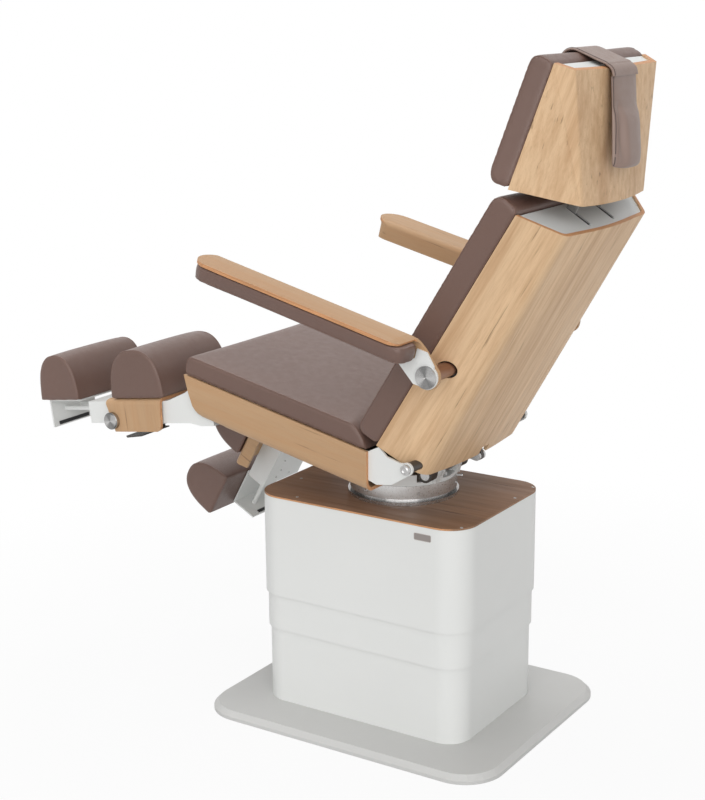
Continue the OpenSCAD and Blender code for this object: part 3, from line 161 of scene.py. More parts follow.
class Recipe:
    """A node material being mixed: nodes are added with their values, and linked by passing sockets."""

    def __init__(self, name):
        self.material = bpy.data.materials.get(name) or bpy.data.materials.new(name)
        self.material.use_nodes = True
        self.tree = self.material.node_tree
        self.tree.nodes.clear()

    def add(self, kind, values=None, **settings):
        node = self.tree.nodes.new("ShaderNode" + kind)
        for key, value in settings.items():
            setattr(node, key, value)
        for key, value in (values or {}).items():
            if isinstance(value, bpy.types.NodeSocket):
                self.tree.links.new(value, node.inputs[key])
            else:
                node.inputs[key].default_value = value
        return node

    def local(self, matrix, stretch=(1, 1, 1)):
        """Coordinates of a leaning group, each axis divided by its stretch."""
        coords = self.add("TexCoord").outputs["Object"]
        return self.add("Mapping", {"Vector": coords, "Location": matrix.to_translation(),
                                    "Rotation": matrix.to_euler(), "Scale": stretch},
                        vector_type="TEXTURE").outputs["Vector"]

    def noise(self, vector, scale, detail=3.0, rough=0.5, distortion=0.0):
        return self.add("TexNoise", {"Vector": vector, "Scale": scale, "Detail": detail, "Roughness": rough,
                                     "Distortion": distortion}).outputs["Fac"]

    def ramp(self, value, stops):
        node = self.add("ValToRGB", {"Fac": value})
        while len(node.color_ramp.elements) < len(stops):
            node.color_ramp.elements.new(1)
        for element, (position, colour) in zip(node.color_ramp.elements, stops):
            element.position = position
            element.color = colour if hasattr(colour, "__len__") else (colour, colour, colour, 1)
        return node.outputs["Color"]

    def span(self, value, low, high, to_low=0.0, to_high=1.0):
        return self.add("MapRange", {"Value": value, "From Min": low, "From Max": high, "To Min": to_low,
                                     "To Max": to_high}).outputs["Result"]

    def math(self, operation, a, b=0.0):
        return self.add("Math", {0: a, 1: b}, operation=operation).outputs["Value"]

    def blend(self, factor, a, b, how="MIX"):
        node = self.add("Mix", {"Factor": factor}, data_type="RGBA", blend_type=how)
        for index, value in ((6, a), (7, b)):
            if isinstance(value, bpy.types.NodeSocket):
                self.tree.links.new(value, node.inputs[index])
            else:
                node.inputs[index].default_value = value
        return node.outputs[2]

    def bump(self, height, strength, distance, under=None):
        values = {"Height": height, "Strength": strength, "Distance": distance}
        if under is not None:
            values["Normal"] = under
        return self.add("Bump", values).outputs["Normal"]

    def finish(self, colour, roughness, normal=None, metallic=0.0, **sockets):
        values = {"Base Color": colour, "Roughness": roughness, "Metallic": metallic, **sockets}
        if normal is not None:
            values["Normal"] = normal
        shader = self.add("BsdfPrincipled", values)
        out = self.add("OutputMaterial")
        self.tree.links.new(shader.outputs["BSDF"], out.inputs["Surface"])
        return self.material


def tint(colour, k):
    """The colour made k times as bright."""
    return (colour[0] * k, colour[1] * k, colour[2] * k, 1)


def leather(name, colour, matrix=WORLD):
    """Smooth grained upholstery leather, a little paler and darker at random."""
    r = Recipe(name)
    v = r.local(matrix)
    cloud = r.noise(v, 5, 4, 0.55)
    base = r.blend(r.span(cloud, 0.3, 0.7), tint(colour, 0.96), tint(colour, 1.05))
    cells = r.add("TexVoronoi", {"Vector": v, "Scale": 620.0}, feature="DISTANCE_TO_EDGE").outputs["Distance"]
    base = r.blend(r.span(cells, 0.0, 0.12, 0.22, 0.0), base, tint(colour, 0.62))
    fine = r.noise(v, 900, 2)
    normal = r.bump(r.span(cells, 0.0, 0.2), 0.22, 0.0006)
    normal = r.bump(fine, 0.08, 0.0004, normal)
    normal = r.bump(r.noise(v, 14, 2), 0.03, 0.004, normal)
    rough = r.span(r.noise(v, 60, 3), 0.3, 0.7, 0.42, 0.54)
    return r.finish(base, rough, normal, **{"Specular IOR Level": 0.5, "Coat Weight": 0.25,
                                            "Coat Roughness": 0.36})


def oak(name, face, streak, matrix, along, edge=None, edge_axis=None, rim=None):
    """Oak face with its grain along one local axis, dark veins and short cracks, and a banded cut edge.

    The cut edge is where a surface faces edge_axis, or, for a board that lies flat, where it faces across Z
    above the level rim.
    """
    r = Recipe(name)
    stretch = [0.12, 0.12, 0.12]
    stretch[along] = 2.4
    v = r.local(matrix, tuple(stretch))
    broad = r.noise(v, 1.6, 4, 0.6, 0.4)
    fine = r.noise(v, 9, 6, 0.7, 0.15)
    hair = r.noise(v, 46, 4, 0.75)
    colour = r.ramp(r.span(broad, 0.25, 0.75),
                    [(0.0, tint(streak, 1.1)), (0.45, tint(face, 0.9)), (1.0, face)])
    colour = r.blend(r.span(fine, 0.42, 0.66, 0.0, 0.5), colour, tint(streak, 1.12))
    colour = r.blend(r.span(hair, 0.5, 0.75, 0.0, 0.3), colour, tint(streak, 0.86))
    short = [0.018, 0.018, 0.018]
    short[along] = 0.5
    cracks = r.noise(r.local(matrix, tuple(short)), 1.9, 3, 0.45, 0.3)
    vein = r.math("MULTIPLY", r.span(cracks, 0.655, 0.70), r.span(fine, 0.44, 0.56))
    colour = r.blend(r.math("MULTIPLY", vein, 0.6), colour, tint(streak, 0.42))
    height = r.math("ADD", fine, r.math("MULTIPLY", hair, 0.5))
    normal = r.bump(height, 0.12, 0.0008)
    normal = r.bump(vein, 0.25, -0.001, normal)
    if edge is not None:
        layers = r.noise(r.local(matrix, tuple(0.0012 if i != along else 0.09 for i in range(3))), 1.0, 2)
        side = r.add("TexCoord").outputs["Normal"]
        axis = matrix.to_3x3() @ Vector([1.0 if i == edge_axis else 0.0 for i in range(3)])
        dot = r.add("VectorMath", {0: side, 1: axis}, operation="DOT_PRODUCT").outputs["Value"]
        if rim is None:
            cut = r.span(r.math("ABSOLUTE", dot), 0.8, 0.9)
        else:
            level = r.add("SeparateXYZ", {"Vector": r.local(matrix)}).outputs["XYZ"[edge_axis]]
            across = r.span(r.math("ABSOLUTE", dot), 0.5, 0.4)
            cut = r.math("MULTIPLY", across, r.span(level, rim, rim + 0.0004))
        band = r.blend(r.span(layers, 0.35, 0.65), tint(edge, 0.72), tint(edge, 1.15))
        colour = r.blend(cut, colour, band)
    rough = r.span(fine, 0.3, 0.7, 0.42, 0.58)
    return r.finish(colour, rough, normal, **{"Specular IOR Level": 0.38})


def paint(name, colour, rough=0.38, peel=0.03, matrix=WORLD):
    """Powder-coated steel with a faint orange peel."""
    r = Recipe(name)
    v = r.local(matrix)
    base = r.blend(r.span(r.noise(v, 3, 3), 0.3, 0.7), tint(colour, 0.975), tint(colour, 1.0))
    normal = r.bump(r.noise(v, 480, 2), peel, 0.0006)
    return r.finish(base, r.span(r.noise(v, 30, 3), 0.3, 0.7, rough - 0.04, rough + 0.05), normal)


def metal(name, colour, matrix=WORLD, along=None, rough=0.3, shine=1.0):
    """Steel, brushed along one local axis or turned."""
    r = Recipe(name)
    stretch = [0.02, 0.02, 0.02] if along is not None else [0.05, 0.05, 0.05]
    if along is not None:
        stretch[along] = 0.6
    lines = r.noise(r.local(matrix, tuple(stretch)), 12, 4, 0.7)
    base = r.blend(r.span(lines, 0.3, 0.7), tint(colour, 0.86), tint(colour, 1.0))
    normal = r.bump(lines, 0.08, 0.0004)
    return r.finish(base, r.span(lines, 0.3, 0.7, rough - 0.06, rough + 0.1), normal, shine)


def turned(name, colour, centre, rough=0.24):
    """Steel faced on a lathe: fine rings round an X axis through the centre, with bright and dark sectors
    painted into its colour as reflection and shade.
    """
    r = Recipe(name)
    v = r.local(Matrix.Translation(centre))
    parts = r.add("SeparateXYZ", {"Vector": v}).outputs
    # Painted reflection and shade: the colour darkens in sectors by the angle round the centre
    angle = r.math("ARCTAN2", parts["Z"], parts["Y"])
    broad = r.math("SINE", r.math("ADD", r.math("MULTIPLY", angle, 2.0), 0.9))
    narrow = r.math("SINE", r.math("ADD", r.math("MULTIPLY", angle, 5.0), 2.0))
    painted_reflection = r.math("ADD", broad, r.math("MULTIPLY", narrow, 0.35))
    rings = r.add("TexWave", {"Vector": v, "Scale": 260.0, "Distortion": 0.4, "Detail": 1.0},
                  wave_type="RINGS", rings_direction="X").outputs["Fac"]
    base = r.blend(r.span(rings, 0.2, 0.8), tint(colour, 0.86), colour)
    base = r.blend(r.span(painted_reflection, -0.9, 1.1, 0.72, 0.0), base, tint(colour, 0.16))
    normal = r.bump(rings, 0.12, 0.0003)
    tangent = r.add("Tangent", direction_type="RADIAL", axis="X").outputs["Tangent"]
    return r.finish(base, r.span(rings, 0, 1, rough - 0.04, rough + 0.06), normal, 1.0,
                    **{"Anisotropic": 0.6, "Tangent": tangent})


def rubber(name, colour, rough=0.62):
    """Matt rubber or plastic with a fine grain, also used for thread."""
    r = Recipe(name)
    v = r.local(WORLD)
    base = r.blend(r.span(r.noise(v, 40, 3), 0.3, 0.7), tint(colour, 0.8), tint(colour, 1.25))
    normal = r.bump(r.noise(v, 700, 2), 0.12, 0.0005)
    return r.finish(base, r.span(r.noise(v, 90, 2), 0.3, 0.7, rough - 0.05, rough + 0.08), normal)


# ---------------------------------------------------------------- mesh helpers


def link(name, mesh, material, body, smooth=True):
    """A finished piece in the scene, which rides on a body."""
    piece = bpy.data.objects.new(name, mesh)
    bpy.context.scene.collection.objects.link(piece)
    mesh.materials.clear()
    mesh.materials.append(material)
    for polygon in mesh.polygons:
        polygon.use_smooth = smooth
    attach(piece, body)
    return piece


def mesh_of(bm, name):
    """The bmesh as a mesh; the bmesh is freed."""
    mesh = bpy.data.meshes.new(name)
    bm.to_mesh(mesh)
    bm.free()
    return mesh


def copy_of(node, name):
    """A CAD solid's mesh, with its loose triangles joined."""
    bm = bmesh.new()
    bm.from_mesh(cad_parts[node].data)
    bmesh.ops.remove_doubles(bm, verts=bm.verts, dist=2e-5)
    return mesh_of(bm, name)


def modified(mesh, name, build):
    """The mesh after the modifiers that build() puts on a passing object."""
    holder = bpy.data.objects.new(name + "-holder", mesh)
    bpy.context.scene.collection.objects.link(holder)
    build(holder)
    graph = bpy.context.evaluated_depsgraph_get()
    result = bpy.data.meshes.new_from_object(holder.evaluated_get(graph))
    result.name = name
    bpy.data.objects.remove(holder)
    return result


def even(mesh, name, voxel):
    """The mesh with faces of one size."""
    def build(o):
        m = o.modifiers.new("even", "REMESH")
        m.mode = "VOXEL"
        m.voxel_size = voxel
    return modified(mesh, name, build)


def smoother(mesh, name):
    """The mesh subdivided once."""
    def build(o):
        m = o.modifiers.new("smooth", "SUBSURF")
        m.levels = m.render_levels = 1
    return modified(mesh, name, build)


def fill(mesh, name, held, cap, pressure=4.0, frames=14):
    """The shape blown up from inside as cloth. held(point) keeps what lies on something or is sewn down.

    No point moves further than cap.
    """
    if cap <= 0:
        return mesh
    scene = bpy.context.scene
    holder = bpy.data.objects.new(name + "-cloth", mesh)
    scene.collection.objects.link(holder)
    group = holder.vertex_groups.new(name="held")
    group.add([v.index for v in mesh.vertices if held(v.co)], 1.0, "REPLACE")
    cloth = holder.modifiers.new("fill", "CLOTH")
    settings = cloth.settings
    settings.quality = 5
    settings.mass = 0.3
    settings.tension_stiffness = settings.compression_stiffness = 30
    settings.shear_stiffness = 20
    settings.bending_stiffness = 2
    settings.use_pressure = True
    settings.uniform_pressure_force = pressure
    settings.vertex_group_mass = "held"
    settings.effector_weights.gravity = 0
    cloth.point_cache.frame_start, cloth.point_cache.frame_end = 1, frames
    for f in range(1, frames + 1):
        scene.frame_set(f)
    graph = bpy.context.evaluated_depsgraph_get()
    filled = [v.co.copy() for v in holder.evaluated_get(graph).data.vertices]
    holder.modifiers.remove(cloth)
    for v, to in zip(mesh.vertices, filled):
        step = to - v.co
        v.co += step * min(1.0, cap / step.length) if step.length > 0 else step
    bpy.data.objects.remove(holder)
    scene.frame_set(1)
    return mesh


def drawn_in(mesh, distance):
    """A slightly smaller shape, for a pad that will swell: every point moves in along its normal."""
    bm = bmesh.new()
    bm.from_mesh(mesh)
    bmesh.ops.recalc_face_normals(bm, faces=bm.faces)
    bm.normal_update()
    for v in bm.verts:
        v.co -= v.normal * distance
    bm.to_mesh(mesh)
    bm.free()
    return mesh


def moved(mesh, matrix, move):
    """The mesh with each point passed through move() in the frame of a leaning group."""
    inverse = matrix.inverted()
    for v in mesh.vertices:
        v.co = matrix @ move(inverse @ v.co)
    return mesh


def up_head(p):
    """How far up the headrest a point lies: 0 at its lower end, 1 at its top."""
    return min(1.04, max(0.0, p.z / HEAD_H))


def head_turn(p):
    """The headrest leans less towards its top, and is deeper behind its cushion, than its solids."""
    t = up_head(p)
    deeper = HEAD_DEEPER[0] + HEAD_DEEPER[1] * t if p.y > 0 else 1
    return Vector((p.x, p.y * deeper - HEAD_FORWARD * t, p.z - HEAD_LOWER * t))


def head_taper(p):
    """Narrower towards the top, with the sides of the shell square to its back there."""
    t = up_head(p)
    rear = min(1.0, max(0.0, p.y / (0.098 - 0.066 * t)))
    return head_turn(Vector((p.x * (1 - HEAD_NARROWER * t) * (1 + HEAD_SQUARE * t * rear), p.y, p.z)))


def strap_lie(p):
    """The strap's way over the headrest, with a fold down the pocket at its end."""
    t = up_head(p)
    p = p.copy()
    shell_y, shell_top = 0.107 - 0.070 * t, 0.26
    if p.y > shell_y and p.z < shell_top:
        across = min(1.0, abs(p.x - 0.03) / 0.064)
        p.y = shell_y + (p.y - shell_y) * (0.72 - 0.42 * across ** 3)
        along = max(0.0, 1 - ((p.z - 0.155) / 0.062) ** 2)
        p.y -= 0.008 * along * math.exp(-((p.x - 0.072) / 0.010) ** 2)
    if p.y > 0.03:
        p.z = min(p.z, shell_top - (shell_top - p.z) * 0.93)
    p.x += 0.008 - 0.032 * t
    return head_turn(p)


def back_wider(p):
    """The rear corners of the back's shell stand further out, and its upper end is deeper."""
    t = min(1.0, max(0.0, p.z / BACK_H))
    rear = min(1.0, max(0.0, (p.y + 0.0877) / (0.2124 - 0.03 * t)))
    side = min(1.0, max(0.0, (abs(p.x) - 0.12) / 0.1))
    corner = math.exp(-((abs(p.x) - 0.205) / 0.045) ** 2) * rear ** 2
    wider = (BACK_WIDER[0] + BACK_WIDER[1] * t) * side * rear
    deeper = BACK_DEEPER * t * rear + (BACK_CORNER[0] + BACK_CORNER[1] * t) * corner
    return Vector((p.x + math.copysign(wider, p.x), p.y + deeper, p.z))


def reshaped(node, matrix, move, body):
    """A copy of a rigid solid with its points moved, which stands for the solid."""
    bm = bmesh.new()
    bm.from_mesh(moved(copy_of(node, node + "-copy"), matrix, move))
    bmesh.ops.triangulate(bm, faces=bm.faces)
    bm.normal_update()
    for edge in bm.edges:
        edge.smooth = edge.calc_face_angle(1.0) < math.radians(24)
    name = node + "-formed"
    piece = link(name, mesh_of(bm, name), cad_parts[node].data.materials[0], body)
    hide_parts(node)
    return piece


def cushion(node, body, held, voxel, cap, matrix, move=None):
    """A padded piece in the place of its CAD solid. cap is the most that a point moves as it fills."""
    name = node + "-leather"
    shape = even(copy_of(node, name + "-cut"), name + "-even", voxel)
    inverse = matrix.inverted()
    shape = fill(drawn_in(shape, min(cap, 0.004) * 0.4), name, lambda p: held(inverse @ p), cap)
    if move:
        shape = moved(shape, matrix, move)
    piece = link(name, smoother(shape, name), bpy.data.materials["leather"], body)
    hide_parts(node)
    return piece


def soft_edged(mesh, rounds):
    """The mesh with its corners worn round."""
    bm = bmesh.new()
    bm.from_mesh(mesh)
    for _ in range(rounds):
        bmesh.ops.smooth_vert(bm, verts=bm.verts, factor=0.5,
                              use_axis_x=True, use_axis_y=True, use_axis_z=True)
    bm.to_mesh(mesh)
    bm.free()
    return mesh


def section_loops(mesh, point, normal):
    """Closed lines where a plane cuts a mesh, each an ordered list of points and surface normals."""
    bm = bmesh.new()
    bm.from_mesh(mesh)
    bm.normal_update()
    cut = bmesh.ops.bisect_plane(bm, geom=bm.verts[:] + bm.edges[:] + bm.faces[:], plane_co=point,
                                 plane_no=normal, dist=1e-6)["geom_cut"]
    bm.normal_update()
    edges = {e for e in cut if isinstance(e, bmesh.types.BMEdge)}
    loops = []
    while edges:
        first = edges.pop()
        chain = [first.verts[0], first.verts[1]]
        while chain[-1] != chain[0]:
            found = next((e for e in chain[-1].link_edges if e in edges), None)
            if found is None:
                break
            edges.discard(found)
            chain.append(found.other_vert(chain[-1]))
        loops.append([(v.co.copy(), v.normal.copy()) for v in chain[:-1]])
    bm.free()
    return [loop for loop in loops if len(loop) > 8]


def even_points(loop, step):
    """Points a step apart round a closed line of (point, normal) pairs."""
    line = loop + [loop[0]]
    total = sum((b[0] - a[0]).length for a, b in zip(line, line[1:]))
    count = max(4, round(total / step))
    result, walked, k = [], 0.0, 0
    for i in range(count):
        target = total * i / count
        while k < len(line) - 2 and walked + (line[k + 1][0] - line[k][0]).length < target:
            walked += (line[k + 1][0] - line[k][0]).length
            k += 1
        a, b = line[k], line[k + 1]
        t = min(1.0, (target - walked) / max((b[0] - a[0]).length, 1e-9))
        result.append((a[0].lerp(b[0], t), a[1].lerp(b[1], t).normalized()))
    return result


def tube(name, lines, radius, material, body, closed=True):
    """Round ridge along lines of points."""
    curve = bpy.data.curves.new(name, "CURVE")
    curve.dimensions = "3D"
    curve.bevel_depth = radius
    curve.bevel_resolution = 2
    curve.use_fill_caps = True
    for line in lines:
        spline = curve.splines.new("POLY")
        spline.points.add(len(line) - 1)
        for target, point in zip(spline.points, line):
            target.co = (*point, 1)
        spline.use_cyclic_u = closed
    holder = bpy.data.objects.new(name + "-line", curve)
    bpy.context.scene.collection.objects.link(holder)
    graph = bpy.context.evaluated_depsgraph_get()
    mesh = bpy.data.meshes.new_from_object(holder.evaluated_get(graph))
    mesh.name = name
    bpy.data.objects.remove(holder)
    return link(name, mesh, material, body)


def side_planes(x):
    """Two upright planes across the chair, each as a point and its normal."""
    return [((k * x, 0, 0), X_AXIS) for k in (-1, 1)]


def piping(name, piece, cuts, radius, body, material=None, keep=None, lift=0.2):
    """A sewn ridge where planes cut a finished cushion, or only where its points pass keep()."""
    lines = []
    for point, normal in cuts:
        for loop in section_loops(piece.data, point, normal):
            loop = even_points(loop, 0.006)
            if keep is None:
                lines.append([p + n * radius * lift for p, n in loop])
            else:
                lines += [run for run in runs(loop, keep) if len(run) > 3]
    return tube(name, lines, radius, material or bpy.data.materials["leather-edge"], body,
                closed=keep is None)


def runs(loop, keep):
    """Unbroken stretches of a loop whose points pass keep()."""
    flags = [keep(p) for p, _ in loop]
    if all(flags):
        return [[p for p, _ in loop]]
    start = flags.index(False)
    order = loop[start:] + loop[:start]
    result, run = [], []
    for p, _ in order:
        if keep(p):
            run.append(p)
        elif run:
            result.append(run)
            run = []
    return result + ([run] if run else [])


def stitches(name, piece, cuts, pitch, body, keep):
    """A row of short threads along where planes cut a piece."""
    bm = bmesh.new()
    for point, normal in cuts:
        for loop in section_loops(piece.data, point, normal):
            line = even_points(loop, pitch / 2)
            for a, b in zip(line[0::2], line[1::2]):
                if not (keep(a[0]) and keep(b[0])):
                    continue
                middle = (a[0] + b[0]) / 2 + a[1] * 0.0002
                x = (b[0] - a[0]).normalized()
                z = a[1]
                y = z.cross(x).normalized()
                turn = Matrix((x, y, x.cross(y))).transposed().to_4x4()
                size = Matrix.Diagonal(((b[0] - a[0]).length * 1.25, 0.0008, 0.0007, 1))
                bmesh.ops.create_icosphere(bm, subdivisions=1, radius=0.5,
                                           matrix=Matrix.Translation(middle) @ turn @ size)
    return link(name, mesh_of(bm, name), bpy.data.materials["thread"], body)


def screw(bm, at, normal, radius, height):
    """Low round head with a sunk socket, standing on a surface."""
    turn = normal.to_track_quat("Z", "Y").to_matrix().to_4x4()
    head = bmesh.ops.create_cone(bm, cap_ends=True, segments=20, radius1=radius, radius2=radius * 0.74,
                                 depth=height,
                                 matrix=Matrix.Translation(at + normal * height / 2) @ turn)["verts"]
    top = max({f for v in head for f in v.link_faces}, key=lambda f: f.calc_center_median().dot(normal))
    bmesh.ops.inset_region(bm, faces=[top], thickness=radius * 0.3)
    bmesh.ops.translate(bm, verts=top.verts[:], vec=-normal * height * 0.7)


def block(bm, matrix, centre, size):
    """A block in the frame of a leaning group."""
    bmesh.ops.create_cube(bm, size=1,
                          matrix=matrix @ Matrix.Translation(centre) @ Matrix.Diagonal((*size, 1)))


# ---------------------------------------------------------------- operators


class PODIATRY_OT_studio(bpy.types.Operator):
    """Camera, pale floor and soft light"""

    bl_idname = "podiatry.studio"
    bl_label = "Studio"

    def execute(self, context):
        scene = context.scene
        scene.view_settings.view_transform = "Standard"
        forward = Vector((math.sin(YAW) * math.cos(PITCH), math.cos(YAW) * math.cos(PITCH), math.sin(PITCH)))
        right = Vector((math.cos(YAW), -math.sin(YAW), 0))
        up = right.cross(forward)
        across = right * math.cos(ROLL) + up * math.sin(ROLL)
        above = up * math.cos(ROLL) - right * math.sin(ROLL)
        lens = bpy.data.cameras.new("camera")
        lens.sensor_fit = "AUTO"
        lens.sensor_width = 36
        lens.lens = FOCAL * lens.sensor_width / PHOTO_H
        lens.shift_x = (PHOTO_W / 2 - CENTRE[0]) / PHOTO_H
        lens.shift_y = (CENTRE[1] - PHOTO_H / 2) / PHOTO_H
        lens.clip_end = 60
        camera = bpy.data.objects.new("camera", lens)
        turn = Matrix((across, above, -forward)).transposed().to_4x4()
        camera.matrix_world = Matrix.Translation(CAMERA_AT) @ turn
        scene.collection.objects.link(camera)
        scene.camera = camera

        bm = bmesh.new()
        bmesh.ops.create_grid(bm, x_segments=1, y_segments=1, size=30)
        floor = bpy.data.objects.new("floor", mesh_of(bm, "floor"))
        scene.collection.objects.link(floor)
        r = Recipe("floor")
        path = r.add("LightPath").outputs
        grain = r.noise(r.local(WORLD), 2, 2)
        tone = r.blend(r.span(grain, 0.3, 0.7), (0.60, 0.60, 0.60, 1), (0.64, 0.64, 0.64, 1))
        ground = r.add("BsdfDiffuse", {"Color": tone})
        glow = r.add("Emission", {"Color": (1, 1, 1, 1), "Strength": 1.0})
        seen = r.math("MAXIMUM", path["Is Camera Ray"], r.math("MAXIMUM", path["Is Glossy Ray"],
                                                               path["Is Transmission Ray"]))
        spot = r.add("TexCoord").outputs["Object"]
        away = r.add("VectorMath", {0: spot}, operation="LENGTH").outputs["Value"]
        mix = r.add("MixShader", {"Fac": r.math("MULTIPLY", seen, r.span(away, 0.9, 2.0, 0.93, 1.0))})
        r.tree.links.new(ground.outputs["BSDF"], mix.inputs[1])
        r.tree.links.new(glow.outputs["Emission"], mix.inputs[2])
        out = r.add("OutputMaterial")
        r.tree.links.new(mix.outputs["Shader"], out.inputs["Surface"])
        floor.data.materials.append(r.material)

        world = bpy.data.worlds.new("studio")
        scene.world = world
        world.use_nodes = True
        tree = world.node_tree
        tree.nodes.clear()
        path = tree.nodes.new("ShaderNodeLightPath").outputs
        shown = path["Is Camera Ray"]
        for ray in ("Is Glossy Ray", "Is Transmission Ray"):
            either = tree.nodes.new("ShaderNodeMath")
            either.operation = "MAXIMUM"
            tree.links.new(shown, either.inputs[0])
            tree.links.new(path[ray], either.inputs[1])
            shown = either.outputs[0]
        strength = tree.nodes.new("ShaderNodeMapRange")
        lit, seen_white = 0.36, 1.0
        strength.inputs["To Min"].default_value = lit
        strength.inputs["To Max"].default_value = seen_white
        tree.links.new(shown, strength.inputs["Value"])
        back = tree.nodes.new("ShaderNodeBackground")
        back.inputs["Color"].default_value = (1, 1, 1, 1)
        tree.links.new(strength.outputs["Result"], back.inputs["Strength"])
        out = tree.nodes.new("ShaderNodeOutputWorld")
        tree.links.new(back.outputs["Background"], out.inputs["Surface"])

        for name, origin, power, spread in (("key", (4.2, 2.3, 1.5), 2.1, 70),
                                            ("top", (-0.4, -1.2, 3.8), 1.4, 60)):
            sun = bpy.data.lights.new(name, "SUN")
            sun.energy = power
            sun.angle = math.radians(spread)
            lamp = bpy.data.objects.new(name, sun)
            turn = Vector(origin).to_track_quat("Z", "Y").to_matrix().to_4x4()
            lamp.matrix_world = Matrix.Translation(origin) @ turn
            scene.collection.objects.link(lamp)
        return {"FINISHED"}


class PODIATRY_OT_finishes(bpy.types.Operator):
    """Wood, paint, steel and rubber on the carried solids"""

    bl_idname = "podiatry.finishes"
    bl_label = "Finishes"

    def execute(self, context):
        c = context.scene.podiatry_colours
        leather("leather", c.leather)
        leather("leather-edge", tint(c.leather, 1.16))
        leather("leather-strap", c.strap, HEAD)
        leather("leather-dark", tint(c.leather, 0.42))
        rubber("thread", tint(c.leather, 1.5), 0.7)
        paint("nameplate", c.label, 0.4, 0.02)
        paint("nameplate-rim", tint(c.label, 1.5), 0.34, 0.02)
        white = paint("paint-white", c.paint)
        lid = paint("paint-lid", c.plate, 0.42, 0.02)
        dark = paint("paint-dark", c.dark, 0.45, 0.05)
        steel = metal("steel", c.steel)
        black = rubber("rubber", c.rubber)
        shaft = metal("brown-shaft", c.brown, along=0, rough=0.34, shine=0.85)

        # Unless given the plain oak, a piece gets the darker copy with painted shade
        def wood(name, matrix, along, edge_axis=None, face=c.oak_shaded, rim=None):
            return oak("oak-" + name, face, c.oak_dark, matrix, along, c.edge, edge_axis, rim)

        finishes = {
            "base_plate": paint("paint-base", c.base, 0.42), "levelling_feet": black,
            "inner_cover": white, "middle_cover": white, "outer_cover": white,
            "column_base": steel, "column_middle": steel, "column_top": steel, "lift_motor": black,
            "top_board": oak("walnut-board", c.walnut, c.walnut_dark, WORLD, 1, c.edge, 0),
            "bearing_flange": metal("steel-flange", c.steel, rough=0.22),
            "turntable_disc": metal("steel-brushed", tint(c.steel, 1.15), rough=0.3),
            "swivel_casting": white, "swivel_pin": steel,
            "tilt_axle": steel, "seat_frame": dark, "seat_side_plates": white,
            "seat_shell": wood("seat", SEAT, 1, 1), "leg_axle": steel, "hinge_bolts": steel,
            "back_actuator": black, "tilt_actuator": black, "back_rod": steel, "tilt_rod": steel,
            "back_frame": dark, "back_shell": wood("back", BACK, 2, 2, c.oak), "back_top_panel": lid,
            "arm_shafts": shaft,
            "head_pivot_block": dark, "head_bars": metal("steel-bars", c.steel, HEAD, 2, 0.2),
            "head_shell": wood("head", HEAD, 2, 2, c.oak), "head_panel": lid,
        }
        for side in ("left", "right"):
            pivot = (SIGN[side] * ARM_DISC_X, *ARM_PIVOT)
            knob = LEG[side] @ Vector((0, -0.285, -0.074))
            finishes.update({
                side + "_arm_wood": wood("arm-" + side, ARM, 1, 2, rim=0.0668),
                side + "_arm_bracket": white,
                side + "_arm_disc": turned("steel-disc-" + side, c.steel, pivot),
                side + "_leg_arm": white,
                side + "_leg_cover": wood("leg-" + side, LEG[side], 2, 1),
                side + "_leg_knob": turned("steel-knob-" + side, c.steel, knob, 0.2),
                side + "_leg_lever": paint("paint-lever", tint(c.dark, 0.7), 0.4, 0.02),
                side + "_heel_slide": paint("paint-slide", c.paint, 0.34, 0.02),
            })
        for node, material in finishes.items():
            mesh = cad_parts[node].data
            mesh.materials.clear()
            mesh.materials.append(material)
        return {"FINISHED"}


class PODIATRY_OT_shells(bpy.types.Operator):
    """Bent shells of the back and the headrest with their lids, in the chair's own outlines"""

    bl_idname = "podiatry.shells"
    bl_label = "Shells"

    def execute(self, context):
        reshaped("back_shell", BACK, back_wider, "back")
        reshaped("back_top_panel", BACK, back_wider, "back")
        reshaped("head_shell", HEAD, head_taper, "head")
        reshaped("head_panel", HEAD, head_taper, "head")
        bar_x, slot_y, slot_z = 0.060, -0.046, 0.632
        linings = (("slot-brushes", 0.0, 0.0100, -0.0012, "rubber", "black_rubber"),
                   ("slot-edges", -0.0062, 0.0016, 0.0005, "steel", "steel"))
        for name, shift, width, rise, finish, slot in linings:
            bm = bmesh.new()
            for x in (-bar_x, bar_x):
                block(bm, BACK, (x + shift, slot_y, slot_z + rise), (width, 0.063, 0.0012))
            bmesh.ops.bevel(bm, geom=bm.edges[:], offset=0.0002, segments=1, profile=0.5, affect="EDGES",
                            material=-1)
            link(name, mesh_of(bm, name), bpy.data.materials[finish], "back", smooth=False)
        return {"FINISHED"}


class PODIATRY_OT_seat_cushion(bpy.types.Operator):
    """Seat cushion with piped ends"""

    bl_idname = "podiatry.seat_cushion"
    bl_label = "Seat Cushion"

    def execute(self, context):
        s = context.scene.podiatry_sizes
        shell_z = 0.004
        piece = cushion("seat_cushion", "seat", lambda p: p.z < shell_z or abs(p.x) > HALF_W - s.flat_end,
                        s.voxel, s.swell, SEAT)
        piping("seat-piping", piece, side_planes(HALF_W - s.piping_in), s.piping, "seat")
        return {"FINISHED"}


class PODIATRY_OT_back_cushion(bpy.types.Operator):
    """Back cushion with piped sides"""

    bl_idname = "podiatry.back_cushion"
    bl_label = "Back Cushion"

    def execute(self, context):
        s = context.scene.podiatry_sizes
        shell_y = -0.092
        piece = cushion("back_cushion", "back", lambda p: p.y > shell_y or abs(p.x) > HALF_W - s.flat_end,
                        s.voxel, s.swell, BACK)
        piping("back-piping", piece, side_planes(HALF_W - s.piping_in), s.piping, "back")
        return {"FINISHED"}


